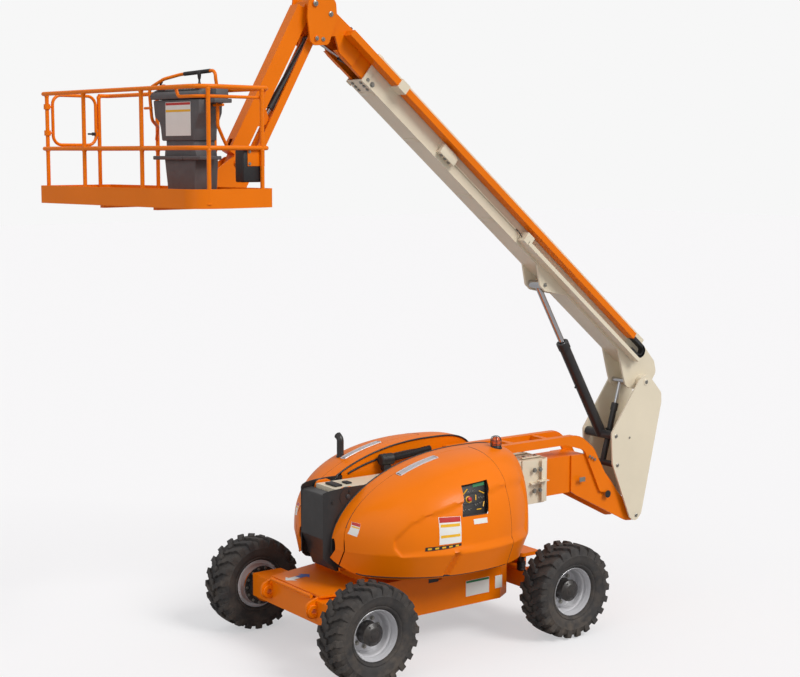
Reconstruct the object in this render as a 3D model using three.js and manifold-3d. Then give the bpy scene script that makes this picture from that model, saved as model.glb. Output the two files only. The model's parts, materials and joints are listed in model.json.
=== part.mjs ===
// Articulating boom lift, parked with its tower boom down, main boom raised and jib hanging.
// Millimetres. X runs along the machine, from the drive axle end (-X) to the steer axle end (+X),
// Y across it and Z up. Sizes below are measured from the middle of the swing bearing, on the ground;
// the finished group is shifted at the end, so that its origin is the bottom centre of its bounding box.
import * as THREE from 'three';
import { mergeVertices } from 'three/addons/utils/BufferGeometryUtils.js';
import Module from 'manifold-3d';

const wasm = await Module();
wasm.setup();

// ---- shared clearances
const touch = 0.3; // between faces that rest on each other
const running = 8; // between pieces that move past each other
const plateLap = 20; // how far a cutting shape runs past what it cuts
const washer = 0.3; // between a pinned eye and its cheeks
const bearing = 0.8; // between a piston rod and its barrel, or a pin and its bore

// ---- wheels and axles
const wheelbase = 2480;
const overallWidth = 2490;
const tyreDiameter = 978;
const tyreWidth = 355;
const rimDiameter = 500;
const rimWall = 14;
const hubRadius = 112;
const discBack = 86; // from the wheel's middle to the back of its disc
const wheelSides = 28;
const axleHeight = tyreDiameter / 2;
const wheelY = (overallWidth - tyreWidth) / 2;
const driveX = -wheelbase / 2;
const steerX = wheelbase / 2;
const driveBeam = { depth: 340, height: 235, halfWidth: wheelY - 297.5 };
const kingpinY = wheelY - 332.5;
const yokeReach = 135; // from the kingpin back to the end of the steer beam
const steerBeam = { depth: 170, height: 170, halfWidth: kingpinY - yokeReach };

// ---- chassis frame
const frameTop = 760;
const frameBottom = 360;
const frameHalfWidth = 590;
const framePlate = 20;
const frameLeft = -760;
const frameRight = 950;
const deckLeft = -1380;
const deckTop = 712;
const lug = { x: -1450, z: 577, radius: 74, hole: 34, y: 415, plate: 30 };

// ---- swing bearing and turntable
const bearingOuter = 520;
const bearingInner = 400;
const bearingHeight = 84;
const turntableBottom = frameTop + bearingHeight + 2 * touch;
const tablePlate = 24;
const tableRadius = 1060; // swings clear of the steered tyres
const cheek = { inner: 205, plate: 24 };
const hoodGap = 270; // half the slot between the two hoods
const hood = {
  wall: 12,
  halfWidth: 1200,
  bulgeZ: 1110,
  bottomZ: 880,
  tuck: 95,
  crestY: 340,
  crestX: 450,
  crestZ: 1970,
  nose: 1570,
  end: 690,
  noseX: -1120,
  planNose: 1165,
  planEnd: 1150,
};
const seamX = 470; // upright seam between the door and the fixed end cover
const seamY = 430; // upper edge of the doors
const seamGap = 5;

// ---- tower boom
const towerPivot = { x: -920, z: 1600 };
const towerBase = { left: -1010, right: 1720, bottom: 1180, top: 1668, half: 180, wall: 10 };
const towerFly = { left: -900, right: 2330, bottom: 1226, top: 1640, half: 158, wall: 9 };
const towerTip = { x: 3085, z: 849 };

// ---- upright
const uprightInner = 222;
const uprightPlate = 20;
const mainPivot = { x: 3205, z: 2381 };
const mainBasePin = { x: 2746, z: 1803 };
const masterBasePin = { x: 2776, z: 1466 };

// ---- main boom, in its own frame: x is 0 at the pivot and falls towards the tip, z is 0 at the pivot
const mainAngle = 39.7;
const mainBase = { right: -250, left: -5080, bottom: 70, top: 400, half: 130, wall: 9 };
const lift = { inner: 106 };
const mainFly = { right: -420, left: -5560, half: 105, wall: 8, gap: 14 };
const trackTube = { outerY: 254, innerY: 142, bottom: 252, top: 322, right: -500, left: -5500 };
const tray = { outerY: 254, right: -260, left: -2430, bottom: 98, lip: 142, plate: 5, fill: 136 };
const liftPin = { x: -1869, z: -26 };
const heelPin = { x: -140, z: -105 };
const heel = { inner: 112, plate: 24 };

// ---- jib, at rest
const bracket = {
  inner: 132,
  plate: 18,
  jib: { x: -1209, z: 6376 },
  boom: { x: -1028, z: 6286 },
  link: { x: -1195, z: 6050 },
  slave: { x: -1117, z: 6046 },
};
const headPin = { x: -2043, z: 4872 };
const jibHalf = 72;
const linkHalf = 70;
const linkPlate = 24;
const jibRodPin = { along: 1200, down: 100 };

// ---- platform, in its own frame: x is 0 at the rotator's axis, z is 0 under the floor
const platform = { length: 2460, width: 790, back: -150, yaw: 8.65, x: -2375, y: 15, z: 4505, corner: 230 };
const toeHeight = 163;
const fork = { bottom: 26, top: 330, plate: 24, pin: 36, radius: 68 };
const railTop = 1010;
const railMiddle = 505;
const railRadius = 19;
const toeWall = 6;
const floorTop = 34;
const hingePost = 60; // from the outer corner to the gate's hinge post
const gatePost = 110; // from the boom side to the post that the gate latches on

// ---------------------------------------------------------------- solids

function solid(geometry) {
  const bare = geometry.clone();
  bare.deleteAttribute('normal');
  bare.deleteAttribute('uv');
  const merged = mergeVertices(bare, 1e-3);
  return new wasm.Manifold(new wasm.Mesh({
    numProp: 3,
    vertProperties: new Float32Array(merged.attributes.position.array),
    triVerts: new Uint32Array(merged.index.array),
  }));
}

const join = (...parts) => parts.flat().reduce((a, b) => a.add(b));
const cut = (body, ...tools) => tools.flat(2).reduce((a, b) => a.subtract(b), body);

function mesh(name, body, look) {
  const data = body.getMesh();
  const geometry = new THREE.BufferGeometry();
  geometry.setAttribute('position', new THREE.BufferAttribute(new Float32Array(data.vertProperties), 3));
  geometry.setIndex(new THREE.BufferAttribute(new Uint32Array(data.triVerts), 1));
  geometry.computeVertexNormals();
  const piece = new THREE.Mesh(geometry, look);
  piece.name = name;
  return piece;
}

function box(x0, x1, y0, y1, z0, z1) {
  const geometry = new THREE.BoxGeometry(x1 - x0, y1 - y0, z1 - z0);
  return solid(geometry.translate((x0 + x1) / 2, (y0 + y1) / 2, (z0 + z1) / 2));
}

// A closed outline of corners [a, b, radius]; a corner with a radius becomes an arc.
function outline(corners) {
  const shape = new THREE.Shape();
  corners.forEach(([a, b, radius = 0], i) => {
    const here = new THREE.Vector2(a, b);
    const [pa, pb] = corners[(i + corners.length - 1) % corners.length];
    const [na, nb] = corners[(i + 1) % corners.length];
    const back = new THREE.Vector2(pa, pb).sub(here).normalize();
    const on = new THREE.Vector2(na, nb).sub(here).normalize();
    const half = Math.acos(THREE.MathUtils.clamp(back.dot(on), -1, 1)) / 2;
    const place = (p) => (i ? shape.lineTo(p.x, p.y) : shape.moveTo(p.x, p.y));
    if (!radius) {
      place(here);
      return;
    }
    const centre = here.clone().add(back.clone().add(on).normalize().multiplyScalar(radius / Math.sin(half)));
    const start = here.clone().add(back.clone().multiplyScalar(radius / Math.tan(half)));
    const end = here.clone().add(on.clone().multiplyScalar(radius / Math.tan(half)));
    place(start);
    shape.absarc(
      centre.x, centre.y, radius,
      start.clone().sub(centre).angle(), end.clone().sub(centre).angle(),
      back.cross(on) > 0,
    );
  });
  return shape;
}

function extruded(shape, depth, curveSegments) {
  return new THREE.ExtrudeGeometry(shape, { depth, bevelEnabled: false, curveSegments });
}

// A plate standing along X: its corners are [x, z] and it lies between two y.
function plateXZ(corners, y0, y1, curveSegments = 3) {
  return solid(extruded(outline(corners), y1 - y0, curveSegments).rotateX(Math.PI / 2).translate(0, y1, 0));
}

// A plate standing across the machine: its corners are [y, z] and it lies between two x.
function plateYZ(corners, x0, x1, curveSegments = 3) {
  const turn = new THREE.Matrix4().set(0, 0, 1, x0, 1, 0, 0, 0, 0, 1, 0, 0, 0, 0, 0, 1);
  return solid(extruded(outline(corners), x1 - x0, curveSegments).applyMatrix4(turn));
}

// A level plate: its corners are [x, y] and it lies between two z.
function plateXY(corners, z0, z1, curveSegments = 3) {
  return solid(extruded(outline(corners), z1 - z0, curveSegments).translate(0, 0, z0));
}

function rod(from, to, radius, sides = 12) {
  const a = new THREE.Vector3(...from);
  const b = new THREE.Vector3(...to);
  const along = b.clone().sub(a);
  const geometry = new THREE.CylinderGeometry(radius, radius, along.length(), sides);
  geometry.applyQuaternion(new THREE.Quaternion().setFromUnitVectors(new THREE.Vector3(0, 1, 0), along.normalize()));
  return solid(geometry.translate(...a.add(b).multiplyScalar(0.5).toArray()));
}

const pinY = (p, y0, y1, radius, sides = 14) => rod([p.x, y0, p.z], [p.x, y1, p.z], radius, sides);

// A body of revolution about Y: its profile is [radius, y], closed on the axis or on itself.
function latheY(profile, segments) {
  const points = profile.map(([r, y]) => new THREE.Vector2(r, y));
  return solid(new THREE.LatheGeometry(points, segments));
}

// A path with a ring at each of its own knots, so that straight stretches need no steps.
class KnotPath extends THREE.Curve {
  constructor(points) {
    super();
    this.points = points;
  }

  getPoint(t) {
    return this.points[Math.round(t * (this.points.length - 1))].clone();
  }

  getPointAt(u) {
    return this.getPoint(u);
  }

  getTangentAt(u) {
    const i = Math.round(u * (this.points.length - 1));
    const on = this.points[Math.min(i + 1, this.points.length - 1)];
    const back = this.points[Math.max(i - 1, 0)];
    const out = on.clone().sub(this.points[i]).normalize();
    const into = this.points[i].clone().sub(back).normalize();
    return out.add(into).normalize();
  }
}

// A round tube through corners [x, y, z, bend radius].
function tube(corners, radius, sides = 8, bendSteps = 3) {
  const points = [];
  corners.forEach(([x, y, z, bend = 0], i) => {
    const here = new THREE.Vector3(x, y, z);
    if (!bend) {
      points.push(here);
      return;
    }
    const back = new THREE.Vector3(...corners[i - 1].slice(0, 3)).sub(here).normalize();
    const on = new THREE.Vector3(...corners[i + 1].slice(0, 3)).sub(here).normalize();
    const half = back.angleTo(on) / 2;
    const centre = here.clone().add(back.clone().add(on).normalize().multiplyScalar(bend / Math.sin(half)));
    const start = here.clone().add(back.multiplyScalar(bend / Math.tan(half))).sub(centre);
    const end = here.clone().add(on.multiplyScalar(bend / Math.tan(half))).sub(centre);
    const sweep = start.angleTo(end);
    for (let k = 0; k <= bendSteps; k += 1) {
      const w = (k / bendSteps) * sweep;
      const a = start.clone().multiplyScalar(Math.sin(sweep - w) / Math.sin(sweep));
      points.push(a.add(end.clone().multiplyScalar(Math.sin(w) / Math.sin(sweep))).add(centre));
    }
  });
  const ring = new THREE.Shape();
  for (let k = 0; k < sides; k += 1) {
    const w = (2 * Math.PI * (k + 0.5)) / sides;
    ring[k ? 'lineTo' : 'moveTo'](radius * Math.cos(w), radius * Math.sin(w));
  }
  const path = new KnotPath(points);
  return solid(new THREE.ExtrudeGeometry(ring, { steps: points.length - 1, extrudePath: path, bevelEnabled: false }));
}

// A closed skin over rings of points that all run the same way round.
function loft(rings) {
  const count = rings[0].length;
  const index = [];
  for (let i = 0; i + 1 < rings.length; i += 1) {
    for (let j = 0; j < count; j += 1) {
      const a = i * count + j;
      const b = i * count + ((j + 1) % count);
      index.push(a, b, b + count, a, b + count, a + count);
    }
  }
  const last = (rings.length - 1) * count;
  for (const [a, b, c] of THREE.ShapeUtils.triangulateShape(rings[0].map((p) => new THREE.Vector2(p.y, p.z)), [])) {
    index.push(c, b, a);
    index.push(last + a, last + b, last + c);
  }
  const geometry = new THREE.BufferGeometry().setFromPoints(rings.flat());
  geometry.setIndex(index);
  return solid(geometry);
}

const origin = { x: 0, z: 0 };
const both = (make) => [1, -1].map(make);
const boxes = (x0, x1, y0, y1, z0, z1) => both((s) => box(x0, x1, Math.min(s * y0, s * y1), Math.max(s * y0, s * y1), z0, z1));
const beam = (x0, x1, half, z0, z1, wall) => cut(
  box(x0, x1, -half, half, z0, z1),
  box(x0 - 1, x1 + 1, -half + wall, half - wall, z0 + wall, z1 - wall),
);

// ---------------------------------------------------------------- finishes

const paint = (color, roughness, metalness) => new THREE.MeshStandardMaterial({ color, roughness, metalness });
const orange = paint(0xe46a0a, 0.4, 0.1);
const cream = paint(0xded2bc, 0.5, 0.1);
const black = paint(0x24252a, 0.55, 0.1);
const rubber = paint(0x232325, 0.9, 0);
const silver = paint(0xc4c6ca, 0.35, 0.8);
const chrome = paint(0x9a9da3, 0.25, 0.9);
const grey = paint(0x5d5d68, 0.6, 0);
const amber = paint(0xd8401a, 0.3, 0);

// ---------------------------------------------------------------- chassis

function chassisFrame() {
  const plan = [
    [frameLeft, -frameHalfWidth], [frameRight - 180, -frameHalfWidth], [frameRight, -frameHalfWidth + 110],
    [frameRight, frameHalfWidth - 110], [frameRight - 180, frameHalfWidth], [frameLeft, frameHalfWidth],
  ];
  const inner = plan.map(([x, y]) => [x - Math.sign(x) * framePlate, y - Math.sign(y) * framePlate]);
  const shell = cut(
    plateXY(plan, frameBottom, frameTop),
    plateXY(inner, frameBottom - 1, frameTop - framePlate),
  );
  const webs = box(-10, 10, -frameHalfWidth + 5, frameHalfWidth - 5, frameBottom, frameTop - 5);
  const deck = plateXY([
    [deckLeft, -lug.y - lug.plate], [frameLeft + 5, -frameHalfWidth], [frameLeft + 5, frameHalfWidth], [deckLeft, lug.y + lug.plate],
  ], deckTop - framePlate, deckTop);
  const rails = both((s) => {
    const y0 = s * lug.y - lug.plate / 2;
    const reach = lug.radius;
    const rail = plateXZ([
      [lug.x - reach, lug.z - reach, reach], [frameLeft + 15, lug.z - reach - 60],
      [frameLeft + 15, deckTop - 5], [lug.x + 90, deckTop - 5], [lug.x - reach, lug.z + reach, reach],
    ], y0, y0 + lug.plate);
    return cut(rail, pinY(lug, y0 - 1, y0 + lug.plate + 1, lug.hole, 16));
  });
  const beamSlot = box(
    driveX - driveBeam.depth / 2 - touch, driveX + driveBeam.depth / 2 + touch, -900, 900,
    axleHeight - 300, axleHeight - 54 + driveBeam.height + touch,
  );
  const pivotBox = cut(
    box(frameRight - 15, steerX + 190, -240, 240, 530, 740),
    box(steerX - steerBeam.depth / 2 - running, steerX + steerBeam.depth / 2 + running, -241, 241, 300, 640),
  );
  const bridge = plateXY([
    [steerX - 150, -560, 40], [steerX + 100, -560, 40], [steerX + 100, 560, 40], [steerX - 150, 560, 40],
  ], 735, 775);
  const pockets = both((s) => box(-150, 5, s * frameHalfWidth - 30, s * frameHalfWidth + 30, 685, 745));
  return cut(join(cut(join(deck, rails), beamSlot), shell, webs, pivotBox, bridge), pockets);
}

function driveAxle() {
  const bottom = axleHeight - 54;
  const housing = box(
    driveX - driveBeam.depth / 2, driveX + driveBeam.depth / 2, -driveBeam.halfWidth, driveBeam.halfWidth,
    bottom, bottom + driveBeam.height,
  );
  const hubs = both((s) => rod(
    [driveX, s * (driveBeam.halfWidth - 5), axleHeight], [driveX, s * (wheelY - discBack - touch), axleHeight], 150, 20,
  ));
  return join(housing, hubs);
}

function steerAxle() {
  const z0 = axleHeight - 105;
  const x0 = steerX - steerBeam.depth / 2;
  const x1 = steerX + steerBeam.depth / 2;
  const main = box(x0, x1, -steerBeam.halfWidth, steerBeam.halfWidth, z0, z0 + steerBeam.height);
  const yokes = both((s) => {
    const root = s * (steerBeam.halfWidth - 40);
    const end = s * steerBeam.halfWidth;
    const tip = s * (kingpinY + 55);
    const arms = [axleHeight + 95, axleHeight - 135].map((z) => plateXY(
      [[x0, root], [x1, root], [x1 - 20, tip], [x0 + 20, tip]], z, z + 40,
    ));
    const web = box(x0, x1, Math.min(root, end), Math.max(root, end), axleHeight - 135, axleHeight + 135);
    return join(arms, web);
  });
  const centre = box(x0, x1, -130, 130, z0, axleHeight + 140);
  return join(main, yokes, centre);
}

function lockoutCylinder(s) {
  const y = s * 450;
  const x = steerX - 62;
  const foot = axleHeight - 105 + steerBeam.height + touch;
  return join(
    rod([x, y, foot + 40], [x, y, 735 - touch], 38, 14),
    rod([x, y, foot], [x, y, foot + 45], 20, 12),
    rod([x, y, 700], [x, y, 735 - touch], 52, 14),
  );
}

const steerRod = { x: steerX + steerBeam.depth / 2 + 55, z: axleHeight - 30, radius: 18 };

function steerCylinder() {
  const { x, z, radius } = steerRod;
  return cut(
    join(rod([x, -200, z], [x, 200, z], 40, 14), box(steerX + steerBeam.depth / 2 + touch, x, -60, 60, z - 30, z + 30)),
    rod([x, -201, z], [x, 201, z], radius + bearing, 12),
  );
}

function knuckle(s) {
  const low = axleHeight - 95 + touch;
  const high = axleHeight + 95 - touch;
  const y = s * kingpinY;
  const post = rod([steerX, y, low], [steerX, y, high], 62, 16);
  const spindle = rod([steerX, y, axleHeight], [steerX, s * (wheelY - discBack - touch), axleHeight], 55, 16);
  const flange = rod([steerX, s * (kingpinY + 110), axleHeight], [steerX, s * (wheelY - discBack - touch), axleHeight], 120, 20);
  const tip = y - s * 20;
  const arm = plateXY([
    [steerX + 30, y - 45], [steerX + 190, tip - 30, 20], [steerX + 190, tip + 30, 20], [steerX + 30, y + 45],
  ], low, low + 28);
  return join(post, spindle, flange, arm);
}

// The tyre and wheel are turned about Y; the open side faces outwards, towards s.
function wheelTurned(profile, s, x, segments) {
  const body = latheY(profile, segments);
  const placed = s > 0 ? body : body.rotate([180, 0, 0]);
  return placed.translate([x, s * wheelY, axleHeight]);
}

function tyre(s, x) {
  const r = tyreDiameter / 2;
  const bead = rimDiameter / 2;
  const w = tyreWidth / 2;
  return wheelTurned([
    [bead, -w + 60], [bead + 25, -w + 18], [r - 120, -w], [r - 30, -w + 12], [r, -w + 50],
    [r, w - 50], [r - 30, w - 12], [r - 120, w], [bead + 25, w - 18], [bead, w - 60], [bead, -w + 60],
  ], s, x, wheelSides);
}

function wheel(s, x) {
  const outer = rimDiameter / 2 - touch;
  const w = tyreWidth / 2;
  const disc = 26 - discBack;
  return wheelTurned([
    [0, disc - 26], [outer - rimWall - 20, disc - 26], [outer - rimWall - 20, -w + 80], [outer - rimWall, -w + 62],
    [outer, -w + 62], [outer, w - 62], [outer - rimWall, w - 62], [outer - rimWall - 20, w - 84],
    [outer - rimWall - 20, disc], [hubRadius + 6, disc], [hubRadius, disc + 4], [hubRadius - 4, w - 78],
    [hubRadius - 24, w - 62], [44, w - 62], [40, w - 50], [0, w - 50],
  ], s, x, wheelSides);
}

const tieRodX = steerX + 165;
const tieRodTop = axleHeight - 95;

function tieRod() {
  const z = tieRodTop - 30;
  const { x, radius } = steerRod;
  return join(
    rod([tieRodX, -kingpinY + 20, z], [tieRodX, kingpinY - 20, z], 18, 10),
    rod([x, -345, steerRod.z], [x, 345, steerRod.z], radius, 12),
    both((s) => rod([tieRodX, s * (kingpinY - 20), z - 20], [tieRodX, s * (kingpinY - 20), tieRodTop], 30, 12)),
    both((s) => box(x - 24, tieRodX + 20, s * 335 - 10, s * 335 + 10, z - 22, steerRod.z + 24)),
  );
}

// ---------------------------------------------------------------- turntable

const span = (value, half, power) => Math.max(0, 1 - Math.abs(value / half) ** power) ** (1 / power);

function hoodTop(x) {
  const rise = hood.crestZ - hood.bulgeZ;
  return x < hood.crestX
    ? hood.bulgeZ + rise * span(x - hood.crestX, hood.nose + 12, 2)
    : hood.bulgeZ + rise * span(x - hood.crestX, hood.end + 12, 4);
}

const hoodWidth = (x) => hood.halfWidth * (x < 0 ? span(x, hood.planNose, 2) : span(x, hood.planEnd, 2.5));

function hoodBottom(x) {
  const start = -940;
  return x > start ? hood.bottomZ : hood.bulgeZ - (hood.bulgeZ - hood.bottomZ) * span(x - start, 200, 2);
}

// One section of a hood, from the slot over the crest and down the side, moved in by a skin's thickness.
function hoodRing(x, inset) {
  const side = Math.max(hoodWidth(x), hoodGap + 30) - inset;
  const top = hoodTop(x) - inset;
  const bottom = hoodBottom(x) + (inset ? -40 : 0);
  const slot = inset ? hoodGap - 40 : hoodGap;
  const crest = Math.min(hood.crestY, slot + (side - slot) * 0.4);
  const middle = Math.min(hood.bulgeZ, top - 5);
  const points = [new THREE.Vector3(x, slot, bottom), new THREE.Vector3(x, Math.max(slot + 5, side - hood.tuck), bottom)];
  const steps = 9;
  for (let k = 0; k <= steps; k += 1) {
    const w = (k / steps) * (Math.PI / 2);
    const y = crest + (side - crest) * Math.cos(w) ** 0.72;
    points.push(new THREE.Vector3(x, y, middle + (top - middle) * Math.sin(w) ** 0.8));
  }
  points.push(new THREE.Vector3(x, slot, top - 8));
  return points;
}

const hoodStations = [-1120, -1090, -1040, -980, -880, -740, -540, -300, 0, 250, seamX, 700, 880, 1000, 1070, 1115, 1132];

// The whole left-hand cover, open below and towards the slot.
function hoodShell() {
  const outside = loft(hoodStations.map((x) => hoodRing(x, 0)));
  const reach = hood.wall;
  const inner = hoodStations.map((x, i) => {
    if (i === 0) return x + reach;
    return i === hoodStations.length - 1 ? x - reach : x;
  });
  return cut(outside, loft(inner.map((x) => hoodRing(x, reach))));
}

const doorHinge = { y: seamY, z: 1974, radius: 9, places: [130, 400], half: 22 };
const tailPipe = { x: -430, y: 600, radius: 24 };
const controlWindow = { left: -178, right: 172, bottom: 1436, top: 1802 };

const leftOf = (body, s) => (s > 0 ? body : flipY(body));

// A row of hinge barrels on the seam; the door has one to the left of each of the cover's.
function hingeBarrels(offset, side) {
  const { y, z, radius, places, half } = doorHinge;
  return places.map((x) => join(
    rod([x + offset - half, y, z], [x + offset + half, y, z], radius, 10),
    box(x + offset - half, x + offset + half, Math.min(y + side * 4, y + side * 34), Math.max(y + side * 4, y + side * 34),
      hoodTopAt(x + offset, seamY) - hood.wall, z),
  ));
}

function flipY(body) {
  return body.mirror([0, 1, 0]);
}

function hoodDoor(s) {
  const { left, right, bottom, top } = controlWindow;
  const region = box(-1300, seamX - seamGap / 2, seamY + seamGap / 2, 1400, 800, 2100);
  const door = join(hoodShell().intersect(region), hingeBarrels(-2 * doorHinge.half - touch, 1));
  const opening = s > 0 ? tailPipeBody(tailPipe.radius + touch) : box(left, right, 700, 1400, bottom, top);
  return leftOf(cut(door, opening), s);
}

function hoodCover(s) {
  const cover = cut(hoodShell(), box(-1300, seamX + seamGap / 2, seamY - seamGap / 2, 1400, 800, 2100));
  const foot = box(560, 640, hoodGap, 700, turntableBottom + tablePlate + touch, hood.bottomZ + 60);
  const post = box(600, 640, hoodGap, hoodGap + 30, hood.bottomZ, 1960);
  return leftOf(join(cover, foot, post, hingeBarrels(0, -1)), s);
}

function turntableFrame() {
  const rim = (scale) => {
    const corners = [];
    const steps = 14;
    for (let k = 0; k <= steps; k += 1) {
      const x = -930 + (k / steps) * 1930;
      corners.push([x, Math.max(60, hoodWidth(x) * scale)]);
    }
    return corners.map(([x, y]) => [x, -y]).concat(corners.reverse());
  };
  const z0 = turntableBottom;
  const table = plateXY(rim(0.86), z0, z0 + tablePlate)
    .intersect(rod([0, 0, z0 - 1], [0, 0, z0 + tablePlate + 1], tableRadius, 48));
  const cheeks = both((s) => {
    const y0 = s > 0 ? cheek.inner : -cheek.inner - cheek.plate;
    return plateXZ([
      [-1000, z0 + 5], [900, z0 + 5], [900, 1090, 60], [300, 1160, 200], [-600, 1240, 200],
      [towerPivot.x + 90, 1690, 70], [towerPivot.x - 85, 1690, 70],
    ], y0, y0 + cheek.plate);
  });
  const bosses = both((s) => pinY(
    towerPivot, s > 0 ? towerBase.half + washer : -cheek.inner - 5, s > 0 ? cheek.inner + 5 : -towerBase.half - washer, 48,
  ));
  const foot = both((s) => {
    const y0 = s > 0 ? 70 : -94;
    return cut(plateXZ([[-640, z0 + 5], [-380, z0 + 5], [-450, 1010, 50], [-570, 1010, 50]], y0, y0 + 24),
      pinY(liftFoot, y0 - 1, y0 + 25, 26, 14));
  });
  return join(table, cheeks, bosses, foot);
}

function counterweight() {
  const top = turntableBottom + tablePlate + touch;
  const front = plateXZ([
    [-860, top], [-860, towerBase.bottom - 24], [-1020, towerBase.bottom - 24], [-1034, 1640, 20], [-1172, 1632, 20],
    [-1178, 1190, 20], [-1120, 1060, 60], [-1040, turntableBottom, 40], [-935, turntableBottom], [-935, top],
  ], -197, 197);
  const wings = both((s) => {
    const y0 = s > 0 ? cheek.inner + cheek.plate + running : -hoodGap + 4;
    const y1 = s > 0 ? hoodGap - 4 : -cheek.inner - cheek.plate - running;
    const crest = [-700, -780, -860, -940, -1020, -1080, -1115].map((x) => [x, hoodTop(x) - 4]);
    return join(
      plateXZ([[-1060, 940], [-700, 1250]].concat(crest, [[-1118, 1080]]), y0, y1),
      box(-1090, -1030, s > 0 ? 190 : y0, s > 0 ? y1 : -190, 960, 1240),
    );
  });
  return join(front, wings);
}

function engine() {
  return join(
    box(-520, 420, 470, 880, turntableBottom + tablePlate + touch, 1420),
    rod([-100, 480, 1400], [-100, 480, 1480], 60, 14),
    rod([-250, 480, 1480], [80, 480, 1480], 75, 16),
  );
}

function hydraulicTank() {
  return join(
    box(-420, 380, -860, -480, turntableBottom + tablePlate + touch, 1340),
    rod([-200, -650, 1335], [-200, -650, 1370], 50, 14),
  );
}

function groundControls() {
  const tank = -860 - touch;
  return plateYZ([
    [-1124, 1446], [-940, 1792], [tank, 1792], [tank, 1240], [-900, 1240], [-935, 1446],
  ], controlWindow.left + 12, controlWindow.right - 12);
}

function beacon() {
  const x = 700;
  const y = -500;
  const z = hoodTopAt(x, -y);
  const skin = loft(hoodStations.map((at) => hoodRing(at, -touch)));
  return join(cut(rod([x, y, z - 50], [x, y, z + 34], 58, 18), flipY(skin)), rod([x, y, z + 30], [x, y, z + 118], 44, 18));
}

// Height of a hood's skin above a point of the plan, found along its section.
function hoodTopAt(x, y) {
  const ring = hoodRing(x, 0);
  for (let i = 2; i + 1 < ring.length; i += 1) {
    const a = ring[i];
    const b = ring[i + 1];
    if (a.y >= y && b.y <= y) return a.z + ((b.z - a.z) * (a.y - y)) / (a.y - b.y);
  }
  return hoodTop(x);
}

function tailPipeBody(radius) {
  const { x, y } = tailPipe;
  const z = hoodTopAt(x, y);
  return tube([[x, y, z - 60], [x, y, z + 170, 45], [x - 60, y + 50, z + 215]], radius, 10);
}

// ---------------------------------------------------------------- tower boom

const liftFoot = { x: -510, z: 960 };
const liftHead = { x: 560, z: 1120 };

function towerBaseBoom() {
  const b = towerBase;
  const main = beam(b.left, b.right, b.half, b.bottom, b.top, b.wall);
  const collar = join(
    box(1400, b.right, b.half - 2, b.half + 18, b.bottom, b.top), box(1400, b.right, -b.half - 18, -b.half + 2, b.bottom, b.top),
    box(b.right - 22, b.right, -b.half - 55, b.half + 55, b.top - 30, b.top + 12),
    box(1500, b.right, -b.half - 55, b.half + 55, 1400, 1416),
  );
  const bore = box(b.left + b.wall + 40, b.right + 1, -b.half + b.wall, b.half - b.wall, b.bottom + b.wall, b.top - b.wall);
  const lugs = both((s) => {
    const y0 = s > 0 ? 60 : -82;
    return cut(plateXZ([
      [liftHead.x - 130, b.bottom + 5], [liftHead.x - 45, liftHead.z - 45, 40], [liftHead.x + 45, liftHead.z - 45, 40],
      [liftHead.x + 130, b.bottom + 5],
    ], y0, y0 + 22), pinY(liftHead, y0 - 1, y0 + 23, 24, 14));
  });
  const end = box(b.left, b.left + 12, -b.half + 4, b.half - 4, b.bottom + 4, b.top - 4);
  const mouth = b.right - 90;
  const inner = b.half - b.wall + 3;
  const pads = join(
    boxes(mouth, b.right - 10, towerFly.half + touch, inner, 1380, 1480),
    box(mouth, b.right - 10, -80, 80, b.bottom + 4, towerFly.bottom - touch),
    box(mouth, b.right - 10, -80, 80, towerFly.top + touch, b.top - 4),
  );
  return join(cut(join(main, collar), bore), end, lugs, pads);
}

function towerFlyBoom() {
  const f = towerFly;
  const main = beam(f.left, f.right, f.half, f.bottom, f.top, f.wall);
  const cheeks = both((s) => {
    const y0 = s > 0 ? f.half - 4 : -f.half - 20;
    return plateXZ([
      [2130, 1236], [2200, 1190, 60], [2980, 790, 60], [3092, 778, 70], [3160, 860, 60], [2860, 1130, 120],
      [2700, 1330, 160], [2420, 1640, 260], [2130, 1640],
    ], y0, y0 + 24);
  });
  const tie = plateXZ([[2340, 1180], [2940, 862], [2948, 880], [2348, 1198]], -f.half, f.half);
  const pin = pinY(towerTip, -uprightInner + washer, uprightInner - washer, 42);
  const cap = box(f.right - 12, f.right, -f.half + 2, f.half - 2, f.bottom + 2, f.top - 2);
  const pads = boxes(f.left + 10, f.left + 90, f.half - 4, towerBase.half - towerBase.wall - touch, 1380, 1480);
  return join(main, cheeks, tie, pin, cap, pads);
}

// Two bars over the fly that carry the hoses, on arms outside the fly's own cheeks.
function gooseneck() {
  const inner = towerFly.half + 20 + touch;
  const arms = both((s) => plateXZ([
    [620, 1776], [2020, 1776, 120], [2300, 1690, 120], [2545, 1190, 30], [2690, 1150, 40], [2722, 1220, 40],
    [2440, 1700, 160], [2230, 1868, 260], [620, 1868],
  ], s > 0 ? inner : -inner - 28, s > 0 ? inner + 28 : -inner));
  const bars = boxes(620, 2150, inner - 56, inner + 4, 1776, 1868);
  const ties = [700, 1300, 1790].map((x) => box(x, x + 60, -inner + 52, inner - 52, 1790, 1860));
  return join(arms, bars, ties);
}

// ---------------------------------------------------------------- upright

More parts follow.
